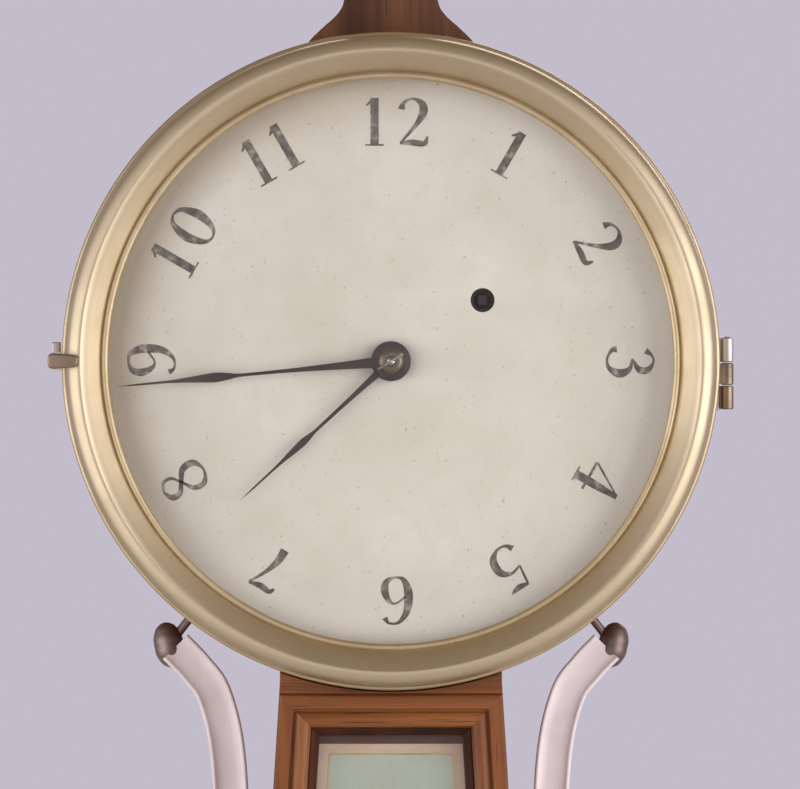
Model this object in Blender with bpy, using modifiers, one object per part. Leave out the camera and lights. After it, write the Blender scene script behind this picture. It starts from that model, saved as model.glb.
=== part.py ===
"""Banjo clock: a weight-driven wall timepiece with a round head, a tapering throat and a lower box.

Units are metres. +Z is up, +X is to the right as seen from the front, and the front faces -Y.
The origin is on the wall, behind the centre of the dial. A depth is a distance forward of the wall.
"""
from math import asin, atan2, cos, hypot, pi, radians, sin, sqrt

import bmesh
import bpy
from mathutils import Vector

MM = 0.001
GAP = 0.3 * MM
MERGE = 0.00001
FACING_FRONT = (radians(90), 0.0, 0.0)

# ---------------------------------------------------------------- driving dimensions
BEZEL_R = 119.5 * MM
HEAD_R = 117.5 * MM
HEAD_BORE_R = 103.0 * MM
BOARD_T = 12.0 * MM
WALL_T = 8.0 * MM

# steel plate let into the back of the case, by which the clock hangs
HANGER_HALF = 15.0 * MM
HANGER_T = 2.5 * MM
HANGER_Z = (72.0 * MM, 107.0 * MM)

HEAD_FRONT = 84.0 * MM
DIAL_R = 110.0 * MM
DIAL_REAR = 82.3 * MM
DIAL_T = 1.4 * MM
DIAL_FRONT = DIAL_REAR + DIAL_T

BOX_TOP = -430.0 * MM
BOX_BOTTOM = -630.0 * MM
BOX_HALF = 127.0 * MM
BOX_FRONT = 90.0 * MM
DOOR_T = 12.0 * MM
DOOR_STILE = 27.0 * MM

THROAT_TOP_Z = -118.0 * MM
THROAT_TOP_HALF = 40.5 * MM
THROAT_SPREAD = 0.062
THROAT_FRONT = 68.0 * MM
THROAT_TENON_Z = -104.0 * MM
THROAT_OPENING = (BOX_TOP + 18.0 * MM, -136.0 * MM)
THROAT_STILE = 15.0 * MM
FRAME_T = 12.0 * MM

# movement: depths of the plates, and the centres of the arbors as (x, z)
BACK_PLATE = (17.0 * MM, 19.5 * MM)
FRONT_PLATE = (45.5 * MM, 48.0 * MM)
PLATE_LEFT, PLATE_RIGHT = -46.0 * MM, 58.0 * MM
PLATE_BOTTOM, PLATE_TOP = -44.0 * MM, 70.0 * MM
PILLAR_INSET = 6.0 * MM
PILLAR_NECK_R = 2.0 * MM
PILLARS = [(x, z) for z in (PLATE_BOTTOM + PILLAR_INSET, PLATE_TOP - PILLAR_INSET)
           for x in (PLATE_LEFT + PILLAR_INSET, PLATE_RIGHT - PILLAR_INSET)]
CENTRE = (0.0, 0.0)
WINDING = (33.3 * MM, 22.2 * MM)
ESCAPE = (-10.0 * MM, 33.0 * MM)
WINDING_HOLE_R = 4.35 * MM

GREAT_TEETH, CENTRE_LEAVES = 96, 8
CENTRE_TEETH, THIRD_LEAVES = 64, 8
THIRD_TEETH, ESCAPE_LEAVES = 60, 6
ESCAPE_TEETH, ESCAPE_R = 30, 13.5 * MM
CANNON_TEETH, MINUTE_TEETH = 12, 36
MINUTE_LEAVES, HOUR_TEETH = 10, 40
RATCHET_TEETH, RATCHET_R = 20, 13.0 * MM
CLICK_ANGLE = radians(41)
MOTION_DISTANCE = 12.5 * MM
CENTRE_MODULE = 0.6 * MM
THIRD_MODULE = 0.5 * MM
GREAT_MODULE = 2 * hypot(*WINDING) / (GREAT_TEETH + CENTRE_LEAVES)
CANNON_MODULE = 2 * MOTION_DISTANCE / (CANNON_TEETH + MINUTE_TEETH)
HOUR_MODULE = 2 * MOTION_DISTANCE / (MINUTE_LEAVES + HOUR_TEETH)

# layers of the train, as (rear depth, front depth)
BARREL_LAYER = (21.5 * MM, 34.0 * MM)
RATCHET_LAYER = (34.0 * MM, 36.0 * MM)
CLICK_LAYER = (34.2 * MM, 36.2 * MM)
GREAT_LAYER = (36.5 * MM, 38.7 * MM)
CENTRE_PINION_LAYER = (35.0 * MM, 40.2 * MM)
CENTRE_LAYER = (21.0 * MM, 22.8 * MM)
THIRD_PINION_LAYER = (20.3 * MM, 24.3 * MM)
THIRD_LAYER = (31.0 * MM, 32.5 * MM)
ESCAPE_PINION_LAYER = (29.7 * MM, 34.0 * MM)
ESCAPE_LAYER = (26.0 * MM, 27.4 * MM)
ANCHOR_LAYER = (25.4 * MM, 28.0 * MM)
CANNON_LAYER = (49.5 * MM, 53.3 * MM)
MINUTE_LAYER = (50.2 * MM, 51.8 * MM)
HOUR_LAYER = (54.2 * MM, 55.8 * MM)

HOUR_HAND_LAYER = (86.5 * MM, 87.3 * MM)
MINUTE_HAND_LAYER = (88.6 * MM, 89.4 * MM)
MINUTE_HAND_ANGLE = radians(264.7)
HOUR_HAND_ANGLE = radians(227.3)
MINUTE_HAND_LENGTH = 100.5 * MM
HOUR_HAND_LENGTH = 75.0 * MM

ROD_DEPTH = 62.0 * MM
CRUTCH_PIN_Z = 27.0 * MM
BOB_Z = -522.0 * MM
BOB_R = 37.5 * MM

CORD_R = 0.6 * MM
BARREL_R = 7.5 * MM
PULLEY_R = 10.0 * MM
PULLEY_X = 2.0 * MM
WEIGHT_DEPTH = 28.5 * MM
PULLEY_Z = -478.0 * MM
CORD_WRAP_R = PULLEY_R + CORD_R + GAP
CORD_POST = (PULLEY_X - CORD_WRAP_R, -36.0 * MM)

SIDEARM_HALF = 6.5 * MM
SIDEARM_DEPTH = (34.0 * MM, 46.0 * MM)
SIDEARM_FOOT = (86.0 * MM, 108.0 * MM)
SIDEARM_KNOB = (81.5 * MM, -104.0 * MM)
SIDEARM_KNOB_TILT = radians(12)

HINGE_R = 2.2 * MM
BEZEL_HINGE_AXIS = (122.3 * MM, 84.5 * MM)
DOOR_HINGE_AXIS = (130.9 * MM, 90.15 * MM)
CATCH_AXIS = (-121.8 * MM, 0.0)
LATCH_AXIS = (-113.5 * MM, -530.0 * MM)

# ---------------------------------------------------------------- scene, collections, materials
for old in list(bpy.data.objects):
    bpy.data.objects.remove(old, do_unlink=True)

PARTS = bpy.data.collections.new("banjo_clock")
CUTTERS = bpy.data.collections.new("cutters")
for collection in (PARTS, CUTTERS):
    bpy.context.scene.collection.children.link(collection)


def make_material(name, colour, roughness, metallic=0.0, alpha=1.0):
    material = bpy.data.materials.new(name)
    material.use_nodes = True
    shader = material.node_tree.nodes["Principled BSDF"]
    shader.inputs["Base Color"].default_value = (*colour, 1.0)
    shader.inputs["Roughness"].default_value = roughness
    shader.inputs["Metallic"].default_value = metallic
    shader.inputs["Alpha"].default_value = alpha
    material.diffuse_color = (*colour, 1.0)
    return material


MAHOGANY = make_material("mahogany", (0.18, 0.07, 0.035), 0.35)
PINE = make_material("pine", (0.42, 0.28, 0.15), 0.6)
BRASS = make_material("brass", (0.62, 0.52, 0.32), 0.3, 1.0)
PALE_BRASS = make_material("pale_brass", (0.72, 0.66, 0.56), 0.25, 1.0)
BRONZE = make_material("dark_bronze", (0.10, 0.07, 0.05), 0.45, 1.0)
STEEL = make_material("steel", (0.45, 0.45, 0.46), 0.35, 1.0)
BLUED = make_material("blued_steel", (0.07, 0.06, 0.055), 0.35, 1.0)
DIAL_PAINT = make_material("dial_paint", (0.66, 0.60, 0.52), 0.5)
TABLET = make_material("tablet_paint", (0.38, 0.43, 0.38), 0.2)
GLASS = make_material("clear_glass", (0.9, 0.92, 0.9), 0.05, 0.0, 0.25)
TIN = make_material("tin", (0.5, 0.5, 0.48), 0.4, 1.0)
IRON = make_material("iron", (0.12, 0.12, 0.12), 0.6, 1.0)
CORD = make_material("gut_cord", (0.5, 0.4, 0.25), 0.6)


# ---------------------------------------------------------------- modelling helpers
def link(name, data, material, cutter=False):
    piece = bpy.data.objects.new(name, data)
    if cutter:
        CUTTERS.objects.link(piece)
        piece.hide_render = True
        piece.display_type = "WIRE"
    else:
        PARTS.objects.link(piece)
        data.materials.append(material)
    return piece


def box(name, x, depth, z, material=None, cutter=False):
    """A block from its (low, high) limits in x, depth and z."""
    mesh = bpy.data.meshes.new(name)
    shape = bmesh.new()
    bmesh.ops.create_cube(shape, size=1.0)
    size = Vector((x[1] - x[0], depth[1] - depth[0], z[1] - z[0]))
    middle = Vector(((x[0] + x[1]) / 2, -(depth[0] + depth[1]) / 2, (z[0] + z[1]) / 2))
    bmesh.ops.scale(shape, vec=size, verts=shape.verts)
    bmesh.ops.translate(shape, vec=middle, verts=shape.verts)
    shape.to_mesh(mesh)
    shape.free()
    return link(name, mesh, material, cutter)


def turned(name, profile, steps, material=None, at=(0, 0), upright=False, closed=False, cutter=False):
    """A turned piece. The profile is (radius, height) from the top down the outer side.

    Height is a depth forward of the wall, or z when the piece stands upright.
    """
    mesh = bpy.data.meshes.new(name)
    points = [(radius, 0.0, height) for radius, height in profile]
    edges = [(i, i + 1) for i in range(len(points) - 1)]
    if closed:
        edges.append((len(points) - 1, 0))
    mesh.from_pydata(points, edges, [])
    piece = link(name, mesh, material, cutter)
    screw = piece.modifiers.new("turn", "SCREW")
    screw.steps = screw.render_steps = steps
    screw.use_merge_vertices = True
    screw.merge_threshold = MERGE
    screw.use_smooth_shade = True
    if upright:
        piece.location = (at[0], at[1], 0.0)
    else:
        piece.rotation_euler = FACING_FRONT
        piece.location = (at[0], 0.0, at[1])
    return piece


def rod(name, radius, depth, steps, material=None, at=(0, 0), cutter=False):
    """A plain cylinder along the depth axis."""
    profile = [(0, depth[1]), (radius, depth[1]), (radius, depth[0]), (0, depth[0])]
    return turned(name, profile, steps, material, at, cutter=cutter)


def flat(name, outlines, depth, material=None, at=(0, 0), angle=0.0, cutter=False):
    """A flat piece cut to closed outlines of (x, z) points; inner outlines are holes.

    The angle turns it clockwise as seen from the front.
    """
    curve = bpy.data.curves.new(name, "CURVE")
    curve.dimensions = "2D"
    curve.fill_mode = "BOTH"
    curve.extrude = (depth[1] - depth[0]) / 2
    for outline in outlines:
        spline = curve.splines.new("POLY")
        spline.points.add(len(outline) - 1)
        for point, (x, z) in zip(spline.points, outline):
            point.co = (x, z, 0.0, 1.0)
        spline.use_cyclic_u = True
    guide = bpy.data.objects.new(name + "_outline", curve)
    CUTTERS.objects.link(guide)
    guide.rotation_euler = (radians(90), angle, 0.0)
    guide.location = (at[0], -(depth[0] + depth[1]) / 2, at[1])
    return to_mesh(guide, name, material, cutter)


def to_mesh(guide, name, material, cutter=False):
    """Turn a curve into one welded mesh object in the same place."""
    bpy.context.view_layer.update()
    evaluated = guide.evaluated_get(bpy.context.evaluated_depsgraph_get())
    mesh = bpy.data.meshes.new_from_object(evaluated)
    mesh.name = name
    shape = bmesh.new()
    shape.from_mesh(mesh)
    bmesh.ops.remove_doubles(shape, verts=shape.verts, dist=MERGE)
    bmesh.ops.recalc_face_normals(shape, faces=shape.faces)
    shape.to_mesh(mesh)
    shape.free()
    mesh.materials.clear()
    piece = link(name, mesh, material, cutter)
    piece.matrix_world = guide.matrix_world
    bpy.data.objects.remove(guide, do_unlink=True)
    return piece


def tube(name, route, radius, material):
    """A round cord along a list of 3-D points."""
    curve = bpy.data.curves.new(name, "CURVE")
    curve.dimensions = "3D"
    curve.bevel_depth = radius
    curve.bevel_resolution = 2
    curve.use_fill_caps = True
    spline = curve.splines.new("POLY")
    spline.points.add(len(route) - 1)
    for point, place in zip(spline.points, route):
        point.co = (*place, 1.0)
    return link(name, curve, material)


def combine(piece, others, operation):
    for other in others:
        change = piece.modifiers.new(operation.lower(), "BOOLEAN")
        change.operation = operation
        change.object = other
    return piece


def cut(piece, *cutters):
    return combine(piece, cutters, "DIFFERENCE")


def join(piece, *additions):
    return combine(piece, additions, "UNION")


def circle(radius, count, centre=(0.0, 0.0), start=0.0):
    return [(centre[0] + radius * cos(start + 2 * pi * i / count),
             centre[1] + radius * sin(start + 2 * pi * i / count)) for i in range(count)]


def polar(radius, angle, centre=(0.0, 0.0)):
    return (centre[0] + radius * cos(angle), centre[1] + radius * sin(angle))


def mirrored(points):
    return [(-x, z) for x, z in reversed(points)]


# ---------------------------------------------------------------- gears
def gear_outline(teeth, radius, tooth_shape, phase=0.0):
    """Toothed outline. The tooth shape is (distance from the pitch circle, part of the pitch angle)."""
    pitch = 2 * pi / teeth
    return [polar(radius + reach, phase + (tooth + turn) * pitch)
            for tooth in range(teeth) for reach, turn in tooth_shape]


def wheel_outline(teeth, module, phase=0.0):
    """Pointed clock-wheel teeth."""
    shape = ((-1.15 * module, -0.31), (0.95 * module, 0.0), (-1.15 * module, 0.31))
    return gear_outline(teeth, teeth * module / 2, shape, phase)


def pinion_outline(leaves, module, phase=0.0):
    """Narrow pinion leaves with radial sides."""
    shape = ((-1.15 * module, -0.18), (0.45 * module, -0.1), (0.45 * module, 0.1), (-1.15 * module, 0.18))
    return gear_outline(leaves, leaves * module / 2, shape, phase)


def crossings(hub, rim, arms, spoke, lean=0.0, steps=5):
    """The openings between the arms of a wheel, from the hub radius to the rim radius."""
    openings = []
    for arm in range(arms):
        start = lean + 2 * pi * arm / arms
        end = lean + 2 * pi * (arm + 1) / arms
        inner_lean = asin(spoke / 2 / hub)
        outer_lean = asin(spoke / 2 / rim)
        outer = [start + outer_lean + (end - start - 2 * outer_lean) * i / steps for i in range(steps + 1)]
        inner = [end - inner_lean, start + inner_lean]
        openings.append([polar(rim, a) for a in outer] + [polar(hub, a) for a in inner])
    return openings


def mesh_phase(driver, driven, driver_teeth, driven_teeth, driver_phase):
    """Phase of a driven wheel whose tooth fills the driver's gap on the line of centres."""
    line = atan2(driven[1] - driver[1], driven[0] - driver[0])
    into_tooth = (line - driver_phase) * driver_teeth
    return line + pi + (into_tooth + pi) / driven_teeth


# ---------------------------------------------------------------- positions worked out from the centres
def circle_meeting(first, first_distance, second, second_distance):
    """The left-hand point at the given distances from two centres."""
    dx, dz = second[0] - first[0], second[1] - first[1]
    span = hypot(dx, dz)
    along = (first_distance ** 2 - second_distance ** 2 + span ** 2) / (2 * span)
    across = sqrt(first_distance ** 2 - along ** 2)
    return (first[0] + along * dx / span - across * dz / span,
            first[1] + along * dz / span + across * dx / span)


CENTRE_THIRD = CENTRE_MODULE * (CENTRE_TEETH + THIRD_LEAVES) / 2
THIRD_ESCAPE = THIRD_MODULE * (THIRD_TEETH + ESCAPE_LEAVES) / 2
THIRD = circle_meeting(CENTRE, CENTRE_THIRD, ESCAPE, THIRD_ESCAPE)
ANCHOR_DISTANCE = ESCAPE_R * sqrt(2)
ANCHOR = (0.0, ESCAPE[1] + sqrt(ANCHOR_DISTANCE ** 2 - ESCAPE[0] ** 2))
MINUTE_STUD = polar(MOTION_DISTANCE, radians(235))
CLICK_PIVOT = polar(19.0 * MM, CLICK_ANGLE, WINDING)
BRIDGE_SCREWS = [(side * 9 * MM, ANCHOR[1] + 13 * MM) for side in (-1, 1)]
TO_ANCHOR = atan2(ANCHOR[1] - ESCAPE[1], ANCHOR[0] - ESCAPE[0])

GREAT_PHASE = 0.0
CENTRE_PINION_PHASE = mesh_phase(WINDING, CENTRE, GREAT_TEETH, CENTRE_LEAVES, GREAT_PHASE)
CENTRE_PHASE = 0.0
THIRD_PINION_PHASE = mesh_phase(CENTRE, THIRD, CENTRE_TEETH, THIRD_LEAVES, CENTRE_PHASE)
THIRD_PHASE = 0.0
ESCAPE_PINION_PHASE = mesh_phase(THIRD, ESCAPE, THIRD_TEETH, ESCAPE_LEAVES, THIRD_PHASE)
CANNON_PHASE = 0.0
MINUTE_PHASE = mesh_phase(CENTRE, MINUTE_STUD, CANNON_TEETH, MINUTE_TEETH, CANNON_PHASE)
MINUTE_PINION_PHASE = 0.0
HOUR_PHASE = mesh_phase(MINUTE_STUD, CENTRE, MINUTE_LEAVES, HOUR_TEETH, MINUTE_PINION_PHASE)
ESCAPE_PHASE = TO_ANCHOR + pi / 4 + 2 * pi / ESCAPE_TEETH / 4


def throat_half(z):
    """Half the outside width of the throat at a height."""
    return THROAT_TOP_HALF + THROAT_SPREAD * (THROAT_TOP_Z - z)


def arc_points(radius, start, end, count):
    return [polar(radius, start + (end - start) * i / count) for i in range(count + 1)]


# ---------------------------------------------------------------- case
def build_backboard():
    shoulder = atan2(-sqrt(HEAD_R ** 2 - THROAT_TOP_HALF ** 2), THROAT_TOP_HALF)
    head = arc_points(HEAD_R, shoulder, pi - shoulder, 44)
    left = [(-throat_half(BOX_TOP), BOX_TOP), (-BOX_HALF, BOX_TOP), (-BOX_HALF, BOX_BOTTOM)]
    board = flat("backboard", [head + left + mirrored(left)], (0.0, BOARD_T), PINE)
    recess_half = HANGER_HALF + GAP
    recess = box("hanger_recess", (-recess_half, recess_half), (-1.0 * MM, HANGER_T + GAP),
                 (HANGER_Z[0] - GAP, HANGER_Z[1] + GAP), cutter=True)
    pocket = box("hanger_pocket", (-7.0 * MM, 7.0 * MM), (-1.0 * MM, 9.0 * MM), (78.0 * MM, 101.0 * MM),
                 cutter=True)
    cut(board, recess, pocket)


def keyhole_outline(radius, slot, length, centre_z):
    """A round hole with a narrower slot rising from it."""
    lean = asin(slot / radius)
    hole = [polar(radius, a, (0.0, centre_z))
            for a in (pi / 2 + lean + (2 * pi - 2 * lean) * i / 14 for i in range(15))]
    top = [polar(slot, pi * i / 6, (0.0, centre_z + length)) for i in range(7)]
    return hole + top


def build_hanger():
    low, high = HANGER_Z
    plate = [(-HANGER_HALF, low), (HANGER_HALF, low), (HANGER_HALF, high), (-HANGER_HALF, high)]
    keyhole = keyhole_outline(5.0 * MM, 2.4 * MM, 11.0 * MM, low + 12 * MM)
    inset = 4.0 * MM
    screws = [circle(1.6 * MM, 8, (side * (HANGER_HALF - inset), z)) for side in (-1, 1)
              for z in (low + inset, high - inset)]
    flat("hanger_plate", [plate, keyhole, *screws], (0.0, HANGER_T), STEEL)


def build_head_ring():
    rear = BOARD_T + GAP
    rebate = DIAL_REAR - GAP
    profile = [(HEAD_R, HEAD_FRONT), (HEAD_R, rear), (HEAD_BORE_R, rear), (HEAD_BORE_R, rebate),
               (DIAL_R + 0.5 * MM, rebate), (DIAL_R + 0.5 * MM, HEAD_FRONT)]
    ring = turned("head_ring", profile, 60, MAHOGANY, closed=True)
    mouth = box("throat_mouth", (-32 * MM, 32 * MM), (BOARD_T - 1 * MM, THROAT_FRONT - 1.5 * MM),
                (-125 * MM, -80 * MM), cutter=True)
    mortise = box("catch_mortise", (-119 * MM, -113.6 * MM), (75.2 * MM, 79.0 * MM), (-3.4 * MM, 7.6 * MM),
                  cutter=True)
    cut(ring, mouth, mortise)


def build_plinth():
    """The block on top of the head: concave sides under a small moulded cap."""
    flare = [(31.0, 111.0), (27.0, 116.5), (22.8, 122.5), (18.8, 128.5), (16.8, 133.5), (16.2, 137.0),
             (18.5, 138.5), (19.0, 141.0), (17.0, 143.0)]
    right = [(x * MM, z * MM) for x, z in flare]
    block = flat("finial_plinth", [right + mirrored(right)], (22 * MM, 62 * MM), MAHOGANY)
    cut(block, rod("plinth_seat", HEAD_R + GAP, (0.0, 90 * MM), 72, cutter=True))


def build_finial():
    """Turned finial: a foot, a waist, an urn and a pointed acorn."""
    shape = [(0, 210), (3.2, 203), (10.5, 192), (12.8, 181.5), (15.2, 180.6), (15.2, 178.2), (12.0, 176.5),
             (15.0, 169), (12.5, 162.5), (5.0, 155.5), (7.5, 152.5), (12.0, 147), (12.0, 143.3), (0, 143.3)]
    turned("finial", [(r * MM, z * MM) for r, z in shape], 20, BRASS, at=(0.0, -42 * MM), upright=True)


def throat_side_outline():
    bottom = BOX_TOP + GAP
    outer = (throat_half(bottom), bottom)
    inner = (outer[0] - WALL_T, bottom)
    tenon = THROAT_TOP_HALF - WALL_T - 0.2 * MM
    return [inner, outer, (THROAT_TOP_HALF, THROAT_TOP_Z), (THROAT_TOP_HALF, THROAT_TENON_Z),
            (tenon, THROAT_TENON_Z), (tenon, THROAT_TOP_Z)]


def build_throat():
    seat = rod("throat_seat", HEAD_R + GAP, (0.0, 90 * MM), 72, cutter=True)
    outline = throat_side_outline()
    depth = (BOARD_T + GAP, THROAT_FRONT)
    for name, points in (("throat_side_right", outline), ("throat_side_left", mirrored(outline))):
        cut(flat(name, [points], depth, MAHOGANY), seat)

    frame_depth = (THROAT_FRONT + GAP, THROAT_FRONT + GAP + FRAME_T)
    top, bottom = THROAT_TENON_Z, BOX_TOP + GAP
    rail_bottom, rail_top = THROAT_OPENING
    half_bottom, half_top = throat_half(rail_bottom) - THROAT_STILE, throat_half(rail_top) - THROAT_STILE
    outer = [(-throat_half(bottom), bottom), (throat_half(bottom), bottom), (throat_half(top), top),
             (-throat_half(top), top)]
    inner = [(-half_bottom, rail_bottom), (half_bottom, rail_bottom), (half_top, rail_top),
             (-half_top, rail_top)]
    frame = flat("throat_frame", [outer, inner], frame_depth, MAHOGANY)
    lip = 4.0 * MM
    tablet = [(-half_bottom - lip, rail_bottom - lip), (half_bottom + lip, rail_bottom - lip),
              (half_top + lip, rail_top + lip), (-half_top - lip, rail_top + lip)]
    middle_z = (rail_top + rail_bottom) / 2
    rebate = [(x + (GAP if x > 0 else -GAP), z + (GAP if z > middle_z else -GAP)) for x, z in tablet]
    bezel_seat = rod("frame_seat", BEZEL_R + 0.8 * MM, (0.0, 120 * MM), 72, cutter=True)
    cut(frame, bezel_seat,
        flat("throat_rebate", [rebate], (THROAT_FRONT - 1 * MM, THROAT_FRONT + 3.2 * MM), cutter=True))
    flat("throat_tablet", [tablet], (THROAT_FRONT + 0.4 * MM, THROAT_FRONT + 2.8 * MM), TABLET)

    top, bottom = -124.0 * MM, -424.0 * MM
    play = WALL_T + 0.8 * MM
    sheet = [(-throat_half(bottom) + play, bottom), (throat_half(bottom) - play, bottom),
             (31.2 * MM, top), (-31.2 * MM, top)]
    flat("weight_baffle", [sheet], (44.0 * MM, 44.6 * MM), TIN)


def build_box():
    depth = (BOARD_T + GAP, BOX_FRONT)
    top = box("box_top", (-BOX_HALF, BOX_HALF), depth, (BOX_TOP - WALL_T, BOX_TOP), MAHOGANY)
    cut(top, box("box_mouth", (-49 * MM, 49 * MM), (15 * MM, 67 * MM), (BOX_TOP - 12 * MM, BOX_TOP + 4 * MM),
                 cutter=True))
    box("box_bottom", (-BOX_HALF, BOX_HALF), depth, (BOX_BOTTOM, BOX_BOTTOM + WALL_T), MAHOGANY)
    height = (BOX_BOTTOM + WALL_T + GAP, BOX_TOP - WALL_T - GAP)
    box("box_side_right", (BOX_HALF - WALL_T, BOX_HALF), depth, height, MAHOGANY)
    left = box("box_side_left", (-BOX_HALF, -BOX_HALF + WALL_T), depth, height, MAHOGANY)
    cut(left, box("latch_mortise", (-123.5 * MM, -118 * MM), (79.5 * MM, 85.5 * MM), (-534 * MM, -520 * MM),
                  cutter=True))


def sidearm_path():
    """Centre line of the right sidearm, from the head down to the box, as a smooth curve."""
    guide = [(79.0, -104.6), (71.5, -112.5), (64.6, -122.7), (59.6, -146.0), (58.0, -190.0), (59.3, -240.0),
             (62.8, -300.0), (69.5, -350.0), (80.0, -393.0), (95.0, -427.0)]
    points = [Vector((x * MM, z * MM)) for x, z in guide]
    padded = [2 * points[0] - points[1], *points, 2 * points[-1] - points[-2]]
    path = []
    for a, b, c, d in zip(padded, padded[1:], padded[2:], padded[3:]):
        for step in range(3):
            t = step / 3
            path.append(0.5 * (2 * b + (c - a) * t + (2 * a - 5 * b + 4 * c - d) * t * t
                               + (3 * b - a - 3 * c + d) * t ** 3))
    path.append(points[-1])
    return path


def build_sidearms():
    """Curved brass straps beside the throat, each with a turned knob at the head and a foot on the box."""
    path = sidearm_path()
    left_edge, right_edge = [], []
    for i, point in enumerate(path):
        direction = (path[min(i + 1, len(path) - 1)] - path[max(i - 1, 0)]).normalized()
        across = Vector((direction.y, -direction.x)) * SIDEARM_HALF
        right_edge.append(tuple(point + across))
        left_edge.append(tuple(point - across))
    strap = right_edge + left_edge[::-1]
    inner, outer = SIDEARM_FOOT
    foot_depth = (SIDEARM_DEPTH[0] - 2 * MM, SIDEARM_DEPTH[1] + 2 * MM)
    foot_z = (BOX_TOP + GAP, BOX_TOP + 5 * MM)
    foot = [(inner, foot_z[0]), (outer, foot_z[0]), (outer, foot_z[1]), (inner, foot_z[1])]
    knob_x, knob_z = SIDEARM_KNOB
    reach = hypot(knob_x, knob_z) - HEAD_R - 2 * GAP
    lean = atan2(knob_x, -knob_z)
    for name, side in (("right", 1), ("left", -1)):
        arm = flat("sidearm_" + name, [[(side * x, z) for x, z in strap]], SIDEARM_DEPTH, PALE_BRASS)
        pad = flat("sidearm_foot_" + name, [[(side * x, z) for x, z in foot]], foot_depth, cutter=True)
        knob = turned("sidearm_knob_" + name,
                      [(0, 8.5 * MM), (3.2 * MM, 7 * MM), (5.2 * MM, 3.5 * MM), (5.2 * MM, -3.5 * MM),
                       (3.2 * MM, -7 * MM), (0, -8.5 * MM)], 16, upright=True, cutter=True)
        knob.location = (side * knob_x, -(SIDEARM_DEPTH[0] + SIDEARM_DEPTH[1]) / 2, knob_z)
        knob.rotation_euler = (0.0, side * SIDEARM_KNOB_TILT, 0.0)
        pin = turned("sidearm_pin_" + name, [(0, reach), (1.6 * MM, reach), (1.6 * MM, 0), (0, 0)], 8,
                     upright=True, cutter=True)
        pin.location = knob.location
        pin.rotation_euler = (0.0, -side * lean, 0.0)
        join(arm, pad, knob, pin)


# ---------------------------------------------------------------- dial, bezel and box door
def build_dial():
    rim = circle(DIAL_R, 60)
    hand_hole = circle(5.6 * MM, 16)
    winding_hole = circle(WINDING_HOLE_R, 16, WINDING)
    flat("dial", [rim, hand_hole, winding_hole], (DIAL_REAR, DIAL_FRONT), DIAL_PAINT)


def knuckle_profile(low, high):
    return [(0, high), (HINGE_R, high), (HINGE_R, low), (0, low)]


def build_bezel():
    rear = HEAD_FRONT + GAP
    profile = [(102.5, 97.0), (107.5, 99.4), (112.5, 101.6), (116.6, 99.2), (118.2, 93.0), (119.5, 91.5),
               (119.5, 84.3), (106.0, 84.3), (106.0, 92.9), (102.5, 94.2)]
    bezel = turned("bezel", [(r * MM, h * MM) for r, h in profile], 60, BRASS, closed=True)
    x, depth = BEZEL_HINGE_AXIS
    knuckle = turned("bezel_knuckle", knuckle_profile(-8.6 * MM, -0.6 * MM), 14, upright=True, at=(x, -depth),
                     cutter=True)
    lug = box("bezel_hinge_lug", (117.0 * MM, x), (depth + 0.4 * MM, depth + 2.0 * MM),
              (-8.4 * MM, -0.8 * MM), cutter=True)
    catch_lug = box("bezel_catch_lug", (-124.4 * MM, -118.0 * MM), (rear + 0.4 * MM, 90.0 * MM),
                    (-3.5 * MM, 3.5 * MM), cutter=True)
    join(bezel, lug, knuckle, catch_lug)
    cut(bezel, rod("catch_bearing", 1.5 * MM, (80 * MM, 110 * MM), 12, at=CATCH_AXIS, cutter=True),
        turned("bezel_pin_hole", [(0, 2 * MM), (1.05 * MM, 2 * MM), (1.05 * MM, -12 * MM), (0, -12 * MM)], 12,
               upright=True, at=(x, -depth), cutter=True))

    sag, edge = 7.0 * MM, 104.0 * MM
    curvature = (edge ** 2 + sag ** 2) / (2 * sag)
    thickness = 2.0 * MM
    inner_rim = 90.5 * MM

    def dome(radius, apex):
        return apex - (curvature - sqrt(curvature ** 2 - radius ** 2))

    steps = 4
    radii = [edge * i / steps for i in range(steps + 1)]
    apex = inner_rim + sag
    front = [(r, dome(r, apex + thickness)) for r in radii]
    back = [(r, dome(r, apex)) for r in reversed(radii)]
    turned("dial_glass", front + back, 44, GLASS)


def build_bezel_catch():
    """Turn button on the bezel's left edge, with a tongue behind that enters the head ring."""
    x, z = CATCH_AXIS
    button = box("bezel_catch", (-124.2 * MM, -113.3 * MM), (102.2 * MM, 104.4 * MM), (-3.2 * MM, 3.2 * MM),
                 BRONZE)
    spindle = rod("catch_spindle", 1.2 * MM, (75.8 * MM, 103 * MM), 10, at=CATCH_AXIS, cutter=True)
    tongue = box("catch_tongue", (x - 1.6 * MM, x + 1.6 * MM), (75.8 * MM, 78.4 * MM), (-1.6 * MM, 7.0 * MM),
                 cutter=True)
    join(button, spindle, tongue)


def build_hinge_leaf(name, axis, leaf_x, leaf_depth, web_depth, heights, knuckles, pin_top):
    """A case leaf: a plate, two knuckles round the axis and the pin through them."""
    x, depth = axis
    leaf = box(name, leaf_x, leaf_depth, heights, BRASS)
    additions = []
    for number, (low, high) in enumerate(knuckles):
        additions.append(turned(f"{name}_knuckle_{number}", knuckle_profile(low, high), 10, upright=True,
                                at=(x, -depth), cutter=True))
        additions.append(box(f"{name}_web_{number}", (leaf_x[0] + 0.2 * MM, x), web_depth,
                             (low + 0.1 * MM, high - 0.1 * MM), cutter=True))
    pin_r, pin_bottom = 0.8 * MM, knuckles[-1][0] + 1 * MM
    pin = [(0, pin_top), (pin_r, pin_top), (pin_r, pin_bottom), (0, pin_bottom)]
    additions.append(turned(f"{name}_pin", pin, 8, upright=True, at=(x, -depth), cutter=True))
    join(leaf, *additions)


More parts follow.
